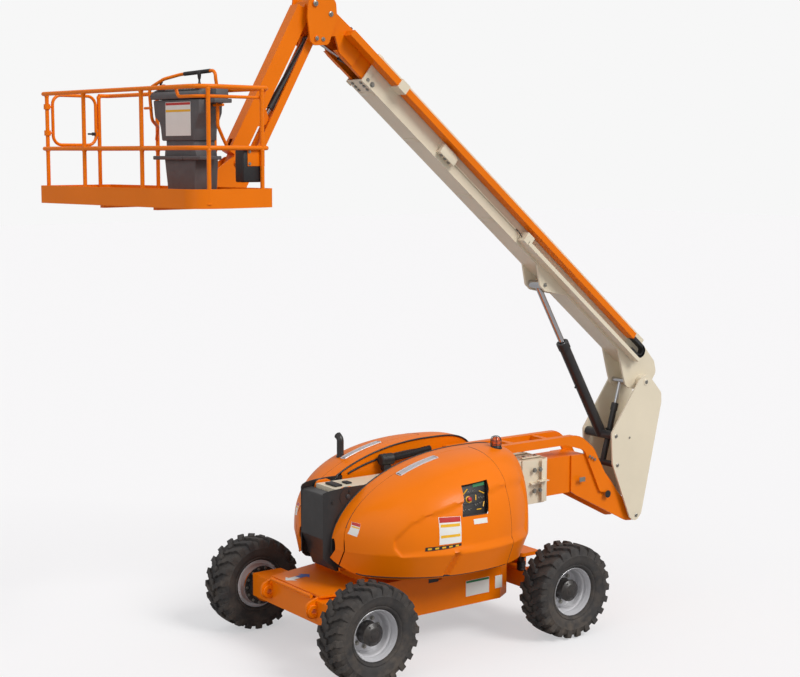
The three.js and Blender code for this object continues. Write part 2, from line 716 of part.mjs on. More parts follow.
function upright() {
  const face = [
    [3230, 2478, 60], [3452, 2240, 60], [3458, 2130, 60], [3168, 862, 60], [3080, 768, 66], [2985, 838, 50],
    [2700, 1490, 60], [2680, 1840, 60], [3090, 2400, 60],
  ];
  const plates = both((s) => plateXZ(face, s > 0 ? uprightInner : -uprightInner - uprightPlate, s > 0 ? uprightInner + uprightPlate : -uprightInner, 4));
  const back = plateXZ([[3432, 2080], [3446, 2074], [3200, 1000], [3186, 1006]], -uprightInner - 4, uprightInner + 4);
  const tie = rod([3300, -uprightInner - 4, 1900], [3300, uprightInner + 4, 1900], 30, 12);
  const pin = join(
    rod([mainPivot.x, -uprightInner - 26, mainPivot.z], [mainPivot.x, -uprightInner + 30, mainPivot.z], 38, 14),
    rod([mainPivot.x, uprightInner - 30, mainPivot.z], [mainPivot.x, uprightInner + 26, mainPivot.z], 38, 14),
  );
  return join(plates, back, tie, pin);
}

// ---------------------------------------------------------------- hydraulic cylinders

// A cylinder lies along X from its barrel's eye at 0 to its rod's eye at length, and is turned into place.
// Closing is how far the rod still has to go in, from where it stands at rest.
function cylinderFrame(from, to) {
  const group = new THREE.Group();
  group.position.set(from.x, 0, from.z);
  group.rotation.y = -Math.atan2(to.z - from.z, to.x - from.x);
  return group;
}

function cylinder(name, from, to, size, barrelLook) {
  const length = Math.hypot(to.x - from.x, to.z - from.z);
  const barrelEnd = length * size.share;
  const wall = size.barrel * 0.2;
  const rodStart = 60 + wall;
  const barrel = cut(
    join(
      rod([0, -size.eyeHalf, 0], [0, size.eyeHalf, 0], size.eye, 16),
      rod([0, 0, 0], [barrelEnd, 0, 0], size.barrel, 16),
      rod([barrelEnd - 50, 0, 0], [barrelEnd, 0, 0], size.barrel * 1.14, 16),
    ),
    rod([rodStart, 0, 0], [barrelEnd + 1, 0, 0], size.rod + bearing, 12),
    size.bore ? [pinY(origin, -size.eyeHalf - 1, size.eyeHalf + 1, size.bore, 16)] : [],
  );
  const stem = join(
    rod([rodStart + 5 + (size.closing || 0), 0, 0], [length, 0, 0], size.rod, 12),
    rod([length, -size.headHalf, 0], [length, size.headHalf, 0], size.head, 16),
  );
  const group = cylinderFrame(from, to);
  group.add(mesh(`${name}_barrel`, barrel, barrelLook), mesh(`${name}_rod`, stem, chrome));
  return group;
}

// ---------------------------------------------------------------- main boom

function mainBaseBoom() {
  const b = mainBase;
  const main = beam(b.left, b.right, b.half, b.bottom, b.top, b.wall);
  const cheeks = both((s) => plateXZ([
    [b.right - 260, b.bottom + 5], [-270, -90, 45], [heelPin.x - 10, heelPin.z - 60, 45], [heelPin.x + 60, heelPin.z - 50, 40],
    [70, -80, 60], [160, 60, 60], [150, 230, 90], [40, 310, 60], [b.right - 200, b.top - 20],
  ], s > 0 ? heel.inner : -heel.inner - heel.plate, s > 0 ? heel.inner + heel.plate : -heel.inner));
  const heelTie = box(b.right - 20, b.right, -heel.inner - 4, heel.inner + 4, b.bottom + 4, b.top - 40);
  const sleeve = pinY({ x: 0, z: 0 }, -uprightInner + washer, uprightInner - washer, 70, 16);
  const bore = pinY({ x: 0, z: 0 }, -uprightInner - 1, uprightInner + 1, 46, 14);
  const lugs = both((s) => plateXZ([
    [liftPin.x + 330, b.bottom + 8], [liftPin.x + 45, liftPin.z - 50, 45], [liftPin.x - 48, liftPin.z - 50, 45],
    [liftPin.x - 240, b.bottom + 8],
  ], s > 0 ? lift.inner : -b.half, s > 0 ? b.half : -lift.inner));
  const wearBlock = box(-3960, -3780, -b.half - 10, -b.half + 2, 180, 270);
  const ring = 14;
  const guide = cut(
    box(-4780, -4660, -trackTube.outerY - ring, -b.half + 4, trackTube.bottom - ring, trackTube.top + ring),
    box(-4800, -4640, -trackTube.outerY - touch, -trackTube.innerY + 6, trackTube.bottom - touch, trackTube.top + touch),
  );
  const fly = mainFly;
  const inner = b.half - b.wall + 3;
  const [f0, f1] = [b.bottom + b.wall + fly.gap, b.top - b.wall - fly.gap];
  const pads = join(
    boxes(b.left + 10, b.left + 90, fly.half + touch, inner, 200, 270),
    box(b.left + 10, b.left + 90, -60, 60, b.bottom + 4, f0 - touch),
    box(b.left + 10, b.left + 90, -60, 60, f1 + touch, b.top - 4),
  );
  return cut(join(main, cheeks, heelTie, sleeve, lugs, wearBlock, guide, pads), bore);
}

function cableTray() {
  const t = tray;
  const y = -mainBase.half - touch;
  const floor = box(t.left, t.right - 260, -t.outerY, y, t.bottom, t.bottom + t.plate);
  const inner = box(t.left, t.right - 260, y - t.plate, y, t.bottom, t.lip + 20);
  const clear = -heel.inner - heel.plate - running;
  const step = join(
    box(t.left, t.right, -t.outerY, -t.outerY + t.plate, t.bottom, t.lip),
    box(t.right - 280, t.right, -t.outerY, clear, t.bottom, t.bottom + t.plate),
  );
  const hoses = box(t.left + 30, t.right - 150, -t.outerY + 14, clear, t.bottom + 2, t.fill);
  const block = box(t.left - 70, t.left + 40, -t.outerY + 10, y - 10, t.bottom + 1, t.bottom + 110);
  return join(floor, inner, step, hoses, block);
}

// The hose track's bend and the run that rises inside the tube; both move at half the boom's reach.
function trackBend() {
  const thick = 40;
  const low = tray.fill + touch;
  const high = trackTube.bottom + 5 + touch + thick;
  const mid = (low + high) / 2;
  const outer = (high - low) / 2;
  const centre = tray.right - 50;
  const shape = new THREE.Shape();
  shape.moveTo(centre - 120, low);
  shape.lineTo(centre, low);
  shape.absarc(centre, mid, outer, -Math.PI / 2, Math.PI / 2, false);
  shape.lineTo(centre - 1900, high);
  shape.lineTo(centre - 1900, high - thick);
  shape.lineTo(centre, high - thick);
  shape.absarc(centre, mid, outer - thick, Math.PI / 2, -Math.PI / 2, true);
  shape.lineTo(centre - 120, low + thick);
  const y0 = -trackTube.outerY + 18;
  const y1 = -trackTube.innerY - 18;
  return solid(extruded(shape, y1 - y0, 8).rotateX(Math.PI / 2).translate(0, y1, 0));
}

// What the bracket's lower pins pass through under the boom's tip as the boom rises.
function bracketSweep() {
  const [near, far] = [212, 345];
  const turns = [-130, -114, -98, -82, -66, -50, -32].map((a) => THREE.MathUtils.degToRad(a));
  const arc = (r) => turns.map((a) => [tip.x + r * Math.cos(a), tip.z + r * Math.sin(a)]);
  return arc(far).concat(arc(near).reverse());
}

function mainFlyBoom() {
  const f = mainFly;
  const z0 = mainBase.bottom + mainBase.wall + f.gap;
  const z1 = mainBase.top - mainBase.wall - f.gap;
  const main = beam(f.left, f.right, f.half, z0, z1, f.wall);
  const neck = both((s) => plateXZ([
    [-5240, z0 + 4], [-5240, z1 - 4], [-5480, z1 - 4], [tip.x - 60, tip.z + 62, 60], [tip.x - 66, tip.z - 62, 60], [-5540, z0 + 40], [-5420, z0 + 4],
  ], s > 0 ? f.half - 3 : -f.half - 16, s > 0 ? f.half + 16 : -f.half + 3));
  const pin = pinY(tip, -bracket.inner + washer, bracket.inner - washer, 40);
  const pads = join(
    boxes(f.right - 200, f.right - 120, f.half - 4, mainBase.half - mainBase.wall - touch, 200, 270),
    box(f.right - 200, f.right - 120, -60, 60, z1 - 4, mainBase.top - mainBase.wall - touch),
  );
  const slot = box(f.left - 1, f.left + 560, -62, 62, z0 - 1, z0 + f.wall + 1);
  const side = bracket.inner + plateLap;
  return join(cut(join(main, neck), slot, plateXZ(bracketSweep(), -side, side)), pin, pads);
}

function trackTubeBody() {
  const t = trackTube;
  const wall = 5;
  const pipe = cut(
    box(t.left, t.right, -t.outerY, -t.innerY, t.bottom, t.top),
    box(t.left + 8, t.right + 1, -t.outerY + wall, -t.innerY - wall, t.bottom + wall, t.top - wall),
  );
  const bracketPlate = box(-5500, -5330, -t.innerY - 2, -mainFly.half - 16 - touch, t.bottom + 6, t.top - 6);
  return join(pipe, bracketPlate);
}

// ---------------------------------------------------------------- jib

function toBoom(p) {
  const e = THREE.MathUtils.degToRad(mainAngle);
  const dx = p.x - mainPivot.x;
  const dz = p.z - mainPivot.z;
  return { x: dx * Math.cos(e) - dz * Math.sin(e), z: dx * Math.sin(e) + dz * Math.cos(e) };
}
const tip = toBoom(bracket.boom);

function jibBracket() {
  const { inner, plate, jib, boom, link, slave } = bracket;
  const face = [
    [jib.x - 60, jib.z + 110, 70], [jib.x + 30, jib.z + 150, 60], [boom.x + 60, boom.z + 130, 80], [boom.x + 72, boom.z - 40, 60],
    [slave.x + 62, slave.z - 50, 50], [link.x - 20, link.z - 66, 50], [link.x - 66, link.z - 30, 50], [jib.x - 85, jib.z - 120, 60],
  ].reverse();
  const plates = both((s) => cut(plateXZ(face, s > 0 ? inner : -inner - plate, s > 0 ? inner + plate : -inner, 4)));
  const web = plateXZ([
    [jib.x + 109, jib.z + 98], [jib.x + 219, jib.z + 38], [jib.x + 211, jib.z + 22], [jib.x + 101, jib.z + 82],
  ], -inner - 4, inner + 4);
  const pins = [[jib, 30], [link, 22]].map(([p, r]) => pinY(p, -inner - plate - 12, inner + plate + 12, r));
  return join(plates, web, pins);
}

// A member's own frame: x runs from its first pin to its second.
function between(a, b) {
  const group = new THREE.Group();
  group.position.set(a.x, 0, a.z);
  group.rotation.y = -Math.atan2(b.z - a.z, b.x - a.x);
  return group;
}

const reach = (a, b) => Math.hypot(b.x - a.x, b.z - a.z);

function jibArm() {
  const length = reach(bracket.jib, headPin);
  const end = { x: length, z: 0 };
  const pin = jibRodPin;
  const outer = bracket.inner - washer;
  const body = join(
    box(70, length - 70, -jibHalf, jibHalf, -115, 45),
    box(-5, 90, -jibHalf, jibHalf, -50, 30), box(length - 90, length + 5, -jibHalf, jibHalf, -50, 30),
    pinY(origin, -outer, outer, 56, 16), pinY(end, -jibHalf, jibHalf, 56, 16),
    both((s) => plateXZ([
      [pin.along - 110, 40], [pin.along - 36, pin.down + 30, 30], [pin.along + 36, pin.down + 30, 30], [pin.along + 110, 40],
    ], s > 0 ? linkHalf - linkPlate - 22 : -linkHalf + linkPlate + 6, s > 0 ? linkHalf - linkPlate - 6 : -linkHalf + linkPlate + 22)),
  );
  const hollow = box(60, length - 95, -jibHalf + 8, jibHalf - 8, -107, 37);
  const opening = box(length - 200, length - 120, -30, 30, -120, -100);
  return cut(body, pinY(origin, -outer - 1, outer + 1, 33, 16), pinY(end, -jibHalf - 1, jibHalf + 1, 33, 16), hollow, opening);
}

function jibLink() {
  const length = reach(bracket.link, linkFoot);
  const end = { x: length, z: 0 };
  const outer = bracket.inner - washer;
  const plates = both((s) => join(
    plateXZ([[-50, -38, 36], [length + 45, -38, 36], [length + 45, 38, 36], [-50, 38, 36]],
      s > 0 ? linkHalf - linkPlate : -linkHalf, s > 0 ? linkHalf : -linkHalf + linkPlate),
    pinY(origin, s > 0 ? linkHalf - linkPlate : -outer, s > 0 ? outer : -linkHalf + linkPlate, 40, 16),
  ));
  const foot = pinY(end, -jibHalf, jibHalf, 42, 16);
  const tie = box(length - 100, length - 50, -linkHalf + 4, linkHalf - 4, -30, 30);
  return cut(join(plates, foot, tie), pinY(origin, -outer - 1, outer + 1, 25, 16), pinY(end, -jibHalf - 1, jibHalf + 1, 25, 16));
}

const linkFoot = { x: bracket.link.x + headPin.x - bracket.jib.x, z: bracket.link.z + headPin.z - bracket.jib.z };

function jibHead() {
  const inner = jibHalf + washer;
  const plate = 16;
  const plates = both((s) => plateXZ([
    [headPin.x - 20, headPin.z + 70, 60], [headPin.x + 60, headPin.z + 40, 60], [linkFoot.x + 75, linkFoot.z + 20, 50],
    [linkFoot.x + 60, linkFoot.z - 60, 50], [linkFoot.x - 150, linkFoot.z - 60, 20], [platform.x + 88, linkFoot.z + 20, 20],
    [platform.x + 88, headPin.z - 80, 20], [headPin.x - 120, headPin.z + 10, 40],
  ].reverse(), s > 0 ? inner : -inner - plate, s > 0 ? inner + plate : -inner, 4));
  const pins = [[headPin, 30], [linkFoot, 22]].map(([p, r]) => pinY(p, -inner - plate - 10, inner + plate + 10, r));
  const back = box(platform.x + 60, platform.x + 108, -inner - 4, inner + 4, linkFoot.z + 26, headPin.z - 90);
  const { x, y } = platform;
  const low = platform.z + fork.bottom + fork.plate + touch;
  const high = platform.z + fork.top - touch;
  const post = rod([x, y, low], [x, y, high], 86, 20);
  const pin = rod([x, y, platform.z + fork.bottom - 12], [x, y, platform.z + fork.top + fork.plate + 12], fork.pin, 16);
  return join(plates, pins, back, post, pin);
}

// ---------------------------------------------------------------- platform

const platOuter = platform.back - platform.width;
const platHalf = platform.length / 2;

function platPlan(inset) {
  const x0 = platOuter + inset;
  const x1 = platform.back - inset;
  const y = platHalf - inset;
  const r = Math.max(20, platform.corner - inset);
  return [[x0, -y, r], [x1, -y, 30], [x1, y, 30], [x0, y, 30]];
}

function platformFloor() {
  const toe = cut(
    plateXY(platPlan(0), 0, toeHeight, 4),
    plateXY(platPlan(toeWall), floorTop, toeHeight + 1, 4),
  );
  const frame = boxes(platOuter + 140, platform.back - 30, 380, 440, -30, 2);
  const { bottom, top, plate, radius } = fork;
  const arm = (z) => plateXY([
    [platform.back - 4, -90], [radius, -radius, radius - 1], [radius, radius, radius - 1], [platform.back - 4, 90],
  ], z, z + plate);
  const back = box(platform.back - 4, platform.back + 22, -90, 90, 0, top + plate);
  const hole = rod([0, 0, -40], [0, 0, 500], fork.pin + bearing, 16);
  return join(toe, frame, back, cut(join(arm(bottom), arm(top)), hole));
}

// The rails' centre lines stand just inside the toe board.
const rail = {
  x0: platOuter + toeWall + touch + railRadius,
  x1: platform.back - toeWall - touch - railRadius,
  y: platHalf - toeWall - touch - railRadius,
  corner: platform.corner - toeWall - touch - railRadius,
};

function platformRails() {
  const { x0, x1, y, corner } = rail;
  const hinge = x0 + hingePost;
  const lean = THREE.MathUtils.degToRad(26);
  const topRun = tube([[x1 - gatePost, y, railTop], [x1, y, railTop, 60], [x1, -y, railTop, 60], [x0, -y, railTop, corner],
    [x0, y, railTop, 55], [hinge, y, railTop]], railRadius, 8);
  const middle = tube([[hinge, y, railMiddle], [x1, y, railMiddle, 60], [x1, -y, railMiddle, 60],
    [x0, -y, railMiddle, corner], [x0, y, railMiddle, 55], [hinge - 1, y, railMiddle]], railRadius, 8);
  const posts = [
    [x0, 500], [x0, -390], [x0 + corner * (1 - Math.sin(lean)), -y + corner * (1 - Math.cos(lean))], [x1 - 80, -y], [x1, 410], [x1, -450], [x1 - gatePost, y], [hinge, y],
  ].map(([px, py]) => rod([px, py, floorTop + touch], [px, py, railTop], railRadius, 8));
  return join(topRun, middle, posts);
}

function platformGate() {
  const { x0, x1, y } = rail;
  const hinge = x0 + hingePost;
  const left = hinge + 60;
  const right = x1 - gatePost - railRadius - running - 15;
  const low = railMiddle + railRadius + 15 + running;
  const high = railTop - 6;
  const mid = (low + high) / 2;
  const frame = tube([
    [left, y, mid], [left, y, high, 90], [right, y, high, 90], [right, y, low, 90], [left, y, low, 90], [left, y, mid - 10],
  ], 15, 8);
  const closing = rod([left, y, mid - 40], [left, y, mid + 30], 17, 8);
  const sleeves = [low + 110, high - 110].map((z) => join(
    rod([hinge, y, z - 25], [hinge, y, z + 25], railRadius + 9, 14),
    box(hinge + 10, left, y - 6, y + 6, z - 20, z + 20),
  ));
  return cut(join(frame, closing, sleeves), rod([hinge, y, low], [hinge, y, high], railRadius + bearing, 16));
}

function platformConsole() {
  const x1 = rail.x1 - railRadius - running;
  const foot = floorTop + touch;
  const profile = [[-330, foot], [120, foot], [150, 430], [230, 470], [230, 500], [140, 500], [150, 620], [260, 700], [290, 900], [270, 1030], [-380, 1030],
    [-400, 900], [-360, 700], [-300, 620], [-300, 500], [-430, 500], [-430, 470], [-340, 430]];
  return plateYZ(profile.map(([a, b]) => [a, b]), x1 - 300, x1);
}

// ---------------------------------------------------------------- assembly

const machine = new THREE.Group();
machine.rotation.order = 'ZYX';

const place = (name, body, look) => machine.add(mesh(name, body, look));

place('chassis_frame', chassisFrame(), orange);
place('drive_axle', driveAxle(), orange);
place('steer_axle', steerAxle(), orange);
place('steer_cylinder', steerCylinder(), black);
place('tie_rod', tieRod(), orange);
for (const [side, s] of [['left', 1], ['right', -1]]) {
  place(`lockout_cylinder_${side}`, lockoutCylinder(s), black);
  place(`drive_tyre_${side}`, tyre(s, driveX), rubber);
  place(`drive_wheel_${side}`, wheel(s, driveX), silver);
  place(`steer_knuckle_${side}`, knuckle(s), orange);
  place(`steer_tyre_${side}`, tyre(s, steerX), rubber);
  place(`steer_wheel_${side}`, wheel(s, steerX), silver);
}
place('swing_bearing', cut(
  rod([0, 0, frameTop + touch], [0, 0, turntableBottom - touch], bearingOuter, 40),
  rod([0, 0, frameTop], [0, 0, turntableBottom], bearingInner, 32),
), black);

place('turntable_frame', turntableFrame(), orange);
place('counterweight', counterweight(), black);
place('engine', engine(), black);
place('hydraulic_tank', hydraulicTank(), black);
place('ground_controls', groundControls(), black);
place('beacon', beacon(), amber);
place('exhaust_stub', tailPipeBody(tailPipe.radius), black);
for (const [side, s] of [['left', 1], ['right', -1]]) {
  place(`hood_door_${side}`, hoodDoor(s), orange);
  place(`hood_cover_${side}`, hoodCover(s), orange);
}

place('tower_base_boom', towerBaseBoom(), cream);
place('tower_fly_boom', towerFlyBoom(), orange);
place('tower_gooseneck', gooseneck(), orange);
place('upright', upright(), cream);

const liftSize = {
  barrel: 62, rod: 34, eye: 50, eyeHalf: uprightInner - washer, head: 44, headHalf: lift.inner - washer, share: 0.62,
};
machine.add(cylinder('tower_lift', liftFoot, liftHead, {
  ...liftSize, barrel: 55, eyeHalf: 70 - washer, headHalf: 60 - washer, share: 0.86,
}, black));

const boom = new THREE.Group();
boom.position.set(mainPivot.x, 0, mainPivot.z);
boom.rotation.y = THREE.MathUtils.degToRad(mainAngle);
boom.add(
  mesh('main_base_boom', mainBaseBoom(), cream), mesh('cable_tray', cableTray(), cream), mesh('hose_track_bend', trackBend(), black),
  mesh('main_fly_boom', mainFlyBoom(), orange), mesh('hose_track_tube', trackTubeBody(), orange),
);
machine.add(boom);

function fromBoom(p) {
  const e = THREE.MathUtils.degToRad(mainAngle);
  return { x: mainPivot.x + p.x * Math.cos(e) + p.z * Math.sin(e), z: mainPivot.z - p.x * Math.sin(e) + p.z * Math.cos(e) };
}

machine.add(cylinder('main_lift', mainBasePin, fromBoom(liftPin), { ...liftSize, closing: 600 }, black));
machine.add(cylinder('master', masterBasePin, fromBoom(heelPin), {
  barrel: 34, rod: 18, eye: 34, eyeHalf: uprightInner - washer, head: 28, headHalf: heel.inner - washer, share: 0.72,
  closing: 150,
}, black));

place('jib_bracket', jibBracket(), orange);
const slaveFoot = fromBoom({ x: tip.x + 900, z: tip.z - 60 });
machine.add(cylinder('slave', slaveFoot, bracket.slave, {
  barrel: 30, rod: 15, eye: 30, eyeHalf: mainFly.half - mainFly.wall - washer,
  head: 26, headHalf: bracket.inner - washer, share: 0.62, closing: 150,
}, black));

const arm = between(bracket.jib, headPin);
arm.add(mesh('jib_arm', jibArm(), orange));
const link = between(bracket.link, linkFoot);
link.add(mesh('jib_link', jibLink(), orange));
machine.add(arm, link);
arm.updateMatrixWorld(true);
const armPin = arm.localToWorld(new THREE.Vector3(jibRodPin.along, 0, jibRodPin.down));
machine.add(cylinder('jib_lift', bracket.link, armPin, {
  barrel: 36, rod: 20, eye: 36, eyeHalf: linkHalf - linkPlate - washer, head: 28, headHalf: linkHalf - linkPlate - 22 - washer,
  share: 0.86, bore: 25,
}, black));
place('jib_head', jibHead(), orange);

const deck = new THREE.Group();
deck.position.set(platform.x, platform.y, platform.z);
deck.rotation.z = THREE.MathUtils.degToRad(platform.yaw);
deck.add(
  mesh('platform_floor', platformFloor(), orange), mesh('platform_rails', platformRails(), orange),
  mesh('platform_gate', platformGate(), orange), mesh('platform_console', platformConsole(), grey),
);
machine.add(deck);

machine.updateMatrixWorld(true);
const bounds = new THREE.Box3().setFromObject(machine, true);
machine.position.set(-(bounds.min.x + bounds.max.x) / 2, -(bounds.min.y + bounds.max.y) / 2, -bounds.min.z);

export default machine;
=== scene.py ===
import json
import math

import bmesh
import bpy
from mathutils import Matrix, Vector


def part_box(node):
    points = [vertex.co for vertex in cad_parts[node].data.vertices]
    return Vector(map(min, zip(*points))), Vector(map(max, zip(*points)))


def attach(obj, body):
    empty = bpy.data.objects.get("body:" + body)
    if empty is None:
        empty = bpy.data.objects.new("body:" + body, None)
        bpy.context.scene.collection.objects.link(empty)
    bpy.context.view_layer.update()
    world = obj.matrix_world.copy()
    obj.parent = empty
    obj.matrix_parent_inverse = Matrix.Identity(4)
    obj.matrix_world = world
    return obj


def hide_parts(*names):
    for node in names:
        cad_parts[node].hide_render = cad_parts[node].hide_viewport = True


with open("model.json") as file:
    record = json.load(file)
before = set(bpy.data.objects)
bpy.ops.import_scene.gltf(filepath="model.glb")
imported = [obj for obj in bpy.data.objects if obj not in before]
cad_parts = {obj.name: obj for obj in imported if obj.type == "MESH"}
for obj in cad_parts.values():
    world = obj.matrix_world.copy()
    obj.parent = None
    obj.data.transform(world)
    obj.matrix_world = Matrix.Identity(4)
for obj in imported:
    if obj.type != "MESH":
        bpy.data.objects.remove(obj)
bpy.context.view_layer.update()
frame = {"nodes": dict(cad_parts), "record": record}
MM = 0.001

# The machine's own axes start at the middle of the swing bearing, on the ground.
ring_low, ring_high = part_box("swing_bearing")
MIDDLE = Vector(((ring_low.x + ring_high.x) / 2, (ring_low.y + ring_high.y) / 2, 0))
BODY_OF = {n: b for b, ns in frame["record"]["behaviour"]["bodies"].items() for n in ns}


def at(x, y, z):
    """A point given in millimetres from the swing bearing's middle."""
    return MIDDLE + Vector((x, y, z)) * MM


# ---------------------------------------------------------------- camera and light

SIDES = (("left", 1), ("right", -1))
PAPER = 0.93  # the background's brightness
SKY_STRENGTH = 0.62
FLOOR_GLOW = 0.475


def place_camera():
    """A long lens off the right side of the drive end, about level with the platform."""
    data = bpy.data.cameras.new("camera")
    data.lens = 67.76
    data.sensor_width = 36
    data.shift_x = 0.0257
    data.shift_y = -0.0093
    data.clip_end = 200
    camera = bpy.data.objects.new("camera", data)
    camera.location = at(-9114, -12326, 4949)
    camera.rotation_euler = (math.radians(90 - 6.66), 0, math.radians(-35.4))
    bpy.context.scene.collection.objects.link(camera)
    bpy.context.scene.camera = camera


def lamp(name, kind, energy, place, turn, **more):
    """A light of some kind at a place, turned by three angles in degrees."""
    data = bpy.data.lights.new(name, kind)
    data.energy = energy
    for key, value in more.items():
        setattr(data, key, value)
    thing = bpy.data.objects.new(name, data)
    thing.location = place
    thing.rotation_euler = [math.radians(a) for a in turn]
    bpy.context.scene.collection.objects.link(thing)


def light_studio():
    """An even sky, paler overhead, that the camera sees as plain paper."""
    world = bpy.data.worlds.new("studio")
    bpy.context.scene.world = world
    world.use_nodes = True
    tree = world.node_tree
    tree.nodes.clear()
    new, join = tree.nodes.new, tree.links.new
    direction = new("ShaderNodeTexCoord")
    split = new("ShaderNodeSeparateXYZ")
    height = new("ShaderNodeMath")
    height.operation = "MULTIPLY_ADD"
    height.inputs[1].default_value = 0.5
    height.inputs[2].default_value = 0.5
    ramp = new("ShaderNodeValToRGB")
    low, high = ramp.color_ramp.elements
    low.position, high.position = 0.35, 0.95
    low.color, high.color = (0.62, 0.61, 0.6, 1), (1, 1, 1, 1)
    sky = new("ShaderNodeBackground")
    sky.inputs["Strength"].default_value = SKY_STRENGTH
    paper = new("ShaderNodeBackground")
    paper.inputs["Color"].default_value = (PAPER, PAPER, PAPER, 1)
    seen = new("ShaderNodeLightPath")
    pick = new("ShaderNodeMixShader")
    world_out = new("ShaderNodeOutputWorld")
    join(direction.outputs["Generated"], split.inputs[0])
    join(split.outputs["Z"], height.inputs[0])
    join(height.outputs[0], ramp.inputs["Fac"])
    join(ramp.outputs["Color"], sky.inputs["Color"])
    join(seen.outputs["Is Camera Ray"], pick.inputs["Fac"])
    join(sky.outputs[0], pick.inputs[1])
    join(paper.outputs[0], pick.inputs[2])
    join(pick.outputs[0], world_out.inputs["Surface"])


bpy.context.scene.view_settings.view_transform = "Standard"
place_camera()
lamp("key_sun", "SUN", 2.05, (0, 0, 12), (48, 0, 18), angle=math.radians(26), color=(1, 0.985, 0.96))
lamp("fill_sun", "SUN", 0.55, (0, 0, 12), (62, 0, -75), angle=math.radians(60), color=(0.95, 0.97, 1))
light_studio()


# ---------------------------------------------------------------- materials


def srgb(r, g, b):
    """A paint colour as the eye reads it, 0 to 255, made linear."""

    def line(v):
        v /= 255
        return v / 12.92 if v <= 0.04045 else ((v + 0.055) / 1.055) ** 2.4

    return (line(r), line(g), line(b), 1)


def dusted(t, place, colour, amount, dust_colour):
    """Lays patchy dust over a colour, thickest near the ground."""
    new, join = t.nodes.new, t.links.new
    heights = new("ShaderNodeSeparateXYZ")
    join(place, heights.inputs[0])
    fall = new("ShaderNodeMapRange")
    fall.inputs["From Min"].default_value = 0.0
    fall.inputs["From Max"].default_value = 1.1
    fall.inputs["To Min"].default_value = amount
    fall.inputs["To Max"].default_value = amount * 0.12
    join(heights.outputs["Z"], fall.inputs["Value"])
    speck = new("ShaderNodeTexNoise")
    speck.inputs["Scale"].default_value = 5.5
    speck.inputs["Detail"].default_value = 9
    speck.inputs["Roughness"].default_value = 0.7
    join(place, speck.inputs["Vector"])
    patch = new("ShaderNodeMapRange")
    patch.inputs["From Min"].default_value = 0.42
    patch.inputs["From Max"].default_value = 0.72
    join(speck.outputs["Fac"], patch.inputs["Value"])
    share = new("ShaderNodeMath")
    share.operation = "MULTIPLY"
    join(fall.outputs[0], share.inputs[0])
    join(patch.outputs[0], share.inputs[1])
    mix = new("ShaderNodeMix")
    mix.data_type = "RGBA"
    join(share.outputs[0], mix.inputs["Factor"])
    join(colour, mix.inputs[6])
    mix.inputs[7].default_value = dust_colour
    return mix.outputs[2]


def finish(name, colour, roughness, tone=0.06, grain=8.0, rough_spread=0.08, bump=0.04, bump_scale=60.0,
           metallic=0.0, coat=0.0, coat_roughness=0.1, dust=0.0, dust_colour=(0.42, 0.36, 0.29, 1),
           specular=0.5):
    """A painted, moulded or metal finish: its tone, gloss and surface wander a little, as on used plate."""
    material = bpy.data.materials.new(name)
    material.use_nodes = True
    t = material.node_tree
    new, join = t.nodes.new, t.links.new
    shader = t.nodes["Principled BSDF"]
    shader.inputs["Metallic"].default_value = metallic
    shader.inputs["Coat Weight"].default_value = coat
    shader.inputs["Coat Roughness"].default_value = coat_roughness
    shader.inputs["Specular IOR Level"].default_value = specular
    where = new("ShaderNodeTexCoord")
    broad = new("ShaderNodeTexNoise")
    broad.inputs["Scale"].default_value = grain
    broad.inputs["Detail"].default_value = 6
    join(where.outputs["Object"], broad.inputs["Vector"])
    tint = new("ShaderNodeValToRGB")
    low, high = tint.color_ramp.elements
    low.position, high.position = 0.3, 0.7
    low.color = [max(0, c * (1 - tone)) for c in colour[:3]] + [1]
    high.color = [min(1, c * (1 + tone)) for c in colour[:3]] + [1]
    join(broad.outputs["Fac"], tint.inputs["Fac"])
    colour_out = tint.outputs["Color"]
    if dust:
        colour_out = dusted(t, where.outputs["Object"], colour_out, dust, dust_colour)
    join(colour_out, shader.inputs["Base Color"])
    wear = new("ShaderNodeTexNoise")
    wear.inputs["Scale"].default_value = grain * 2.3
    wear.inputs["Detail"].default_value = 5
    join(where.outputs["Object"], wear.inputs["Vector"])
    gloss = new("ShaderNodeMapRange")
    gloss.inputs["To Min"].default_value = max(0.02, roughness - rough_spread)
    gloss.inputs["To Max"].default_value = min(1, roughness + rough_spread)
    join(wear.outputs["Fac"], gloss.inputs["Value"])
    join(gloss.outputs[0], shader.inputs["Roughness"])
    fine = new("ShaderNodeTexNoise")
    fine.inputs["Scale"].default_value = bump_scale
    fine.inputs["Detail"].default_value = 3
    join(where.outputs["Object"], fine.inputs["Vector"])
    dents = new("ShaderNodeBump")
    dents.inputs["Strength"].default_value = bump
    dents.inputs["Distance"].default_value = 0.004
    join(fine.outputs["Fac"], dents.inputs["Height"])
    join(dents.outputs[0], shader.inputs["Normal"])
    return material


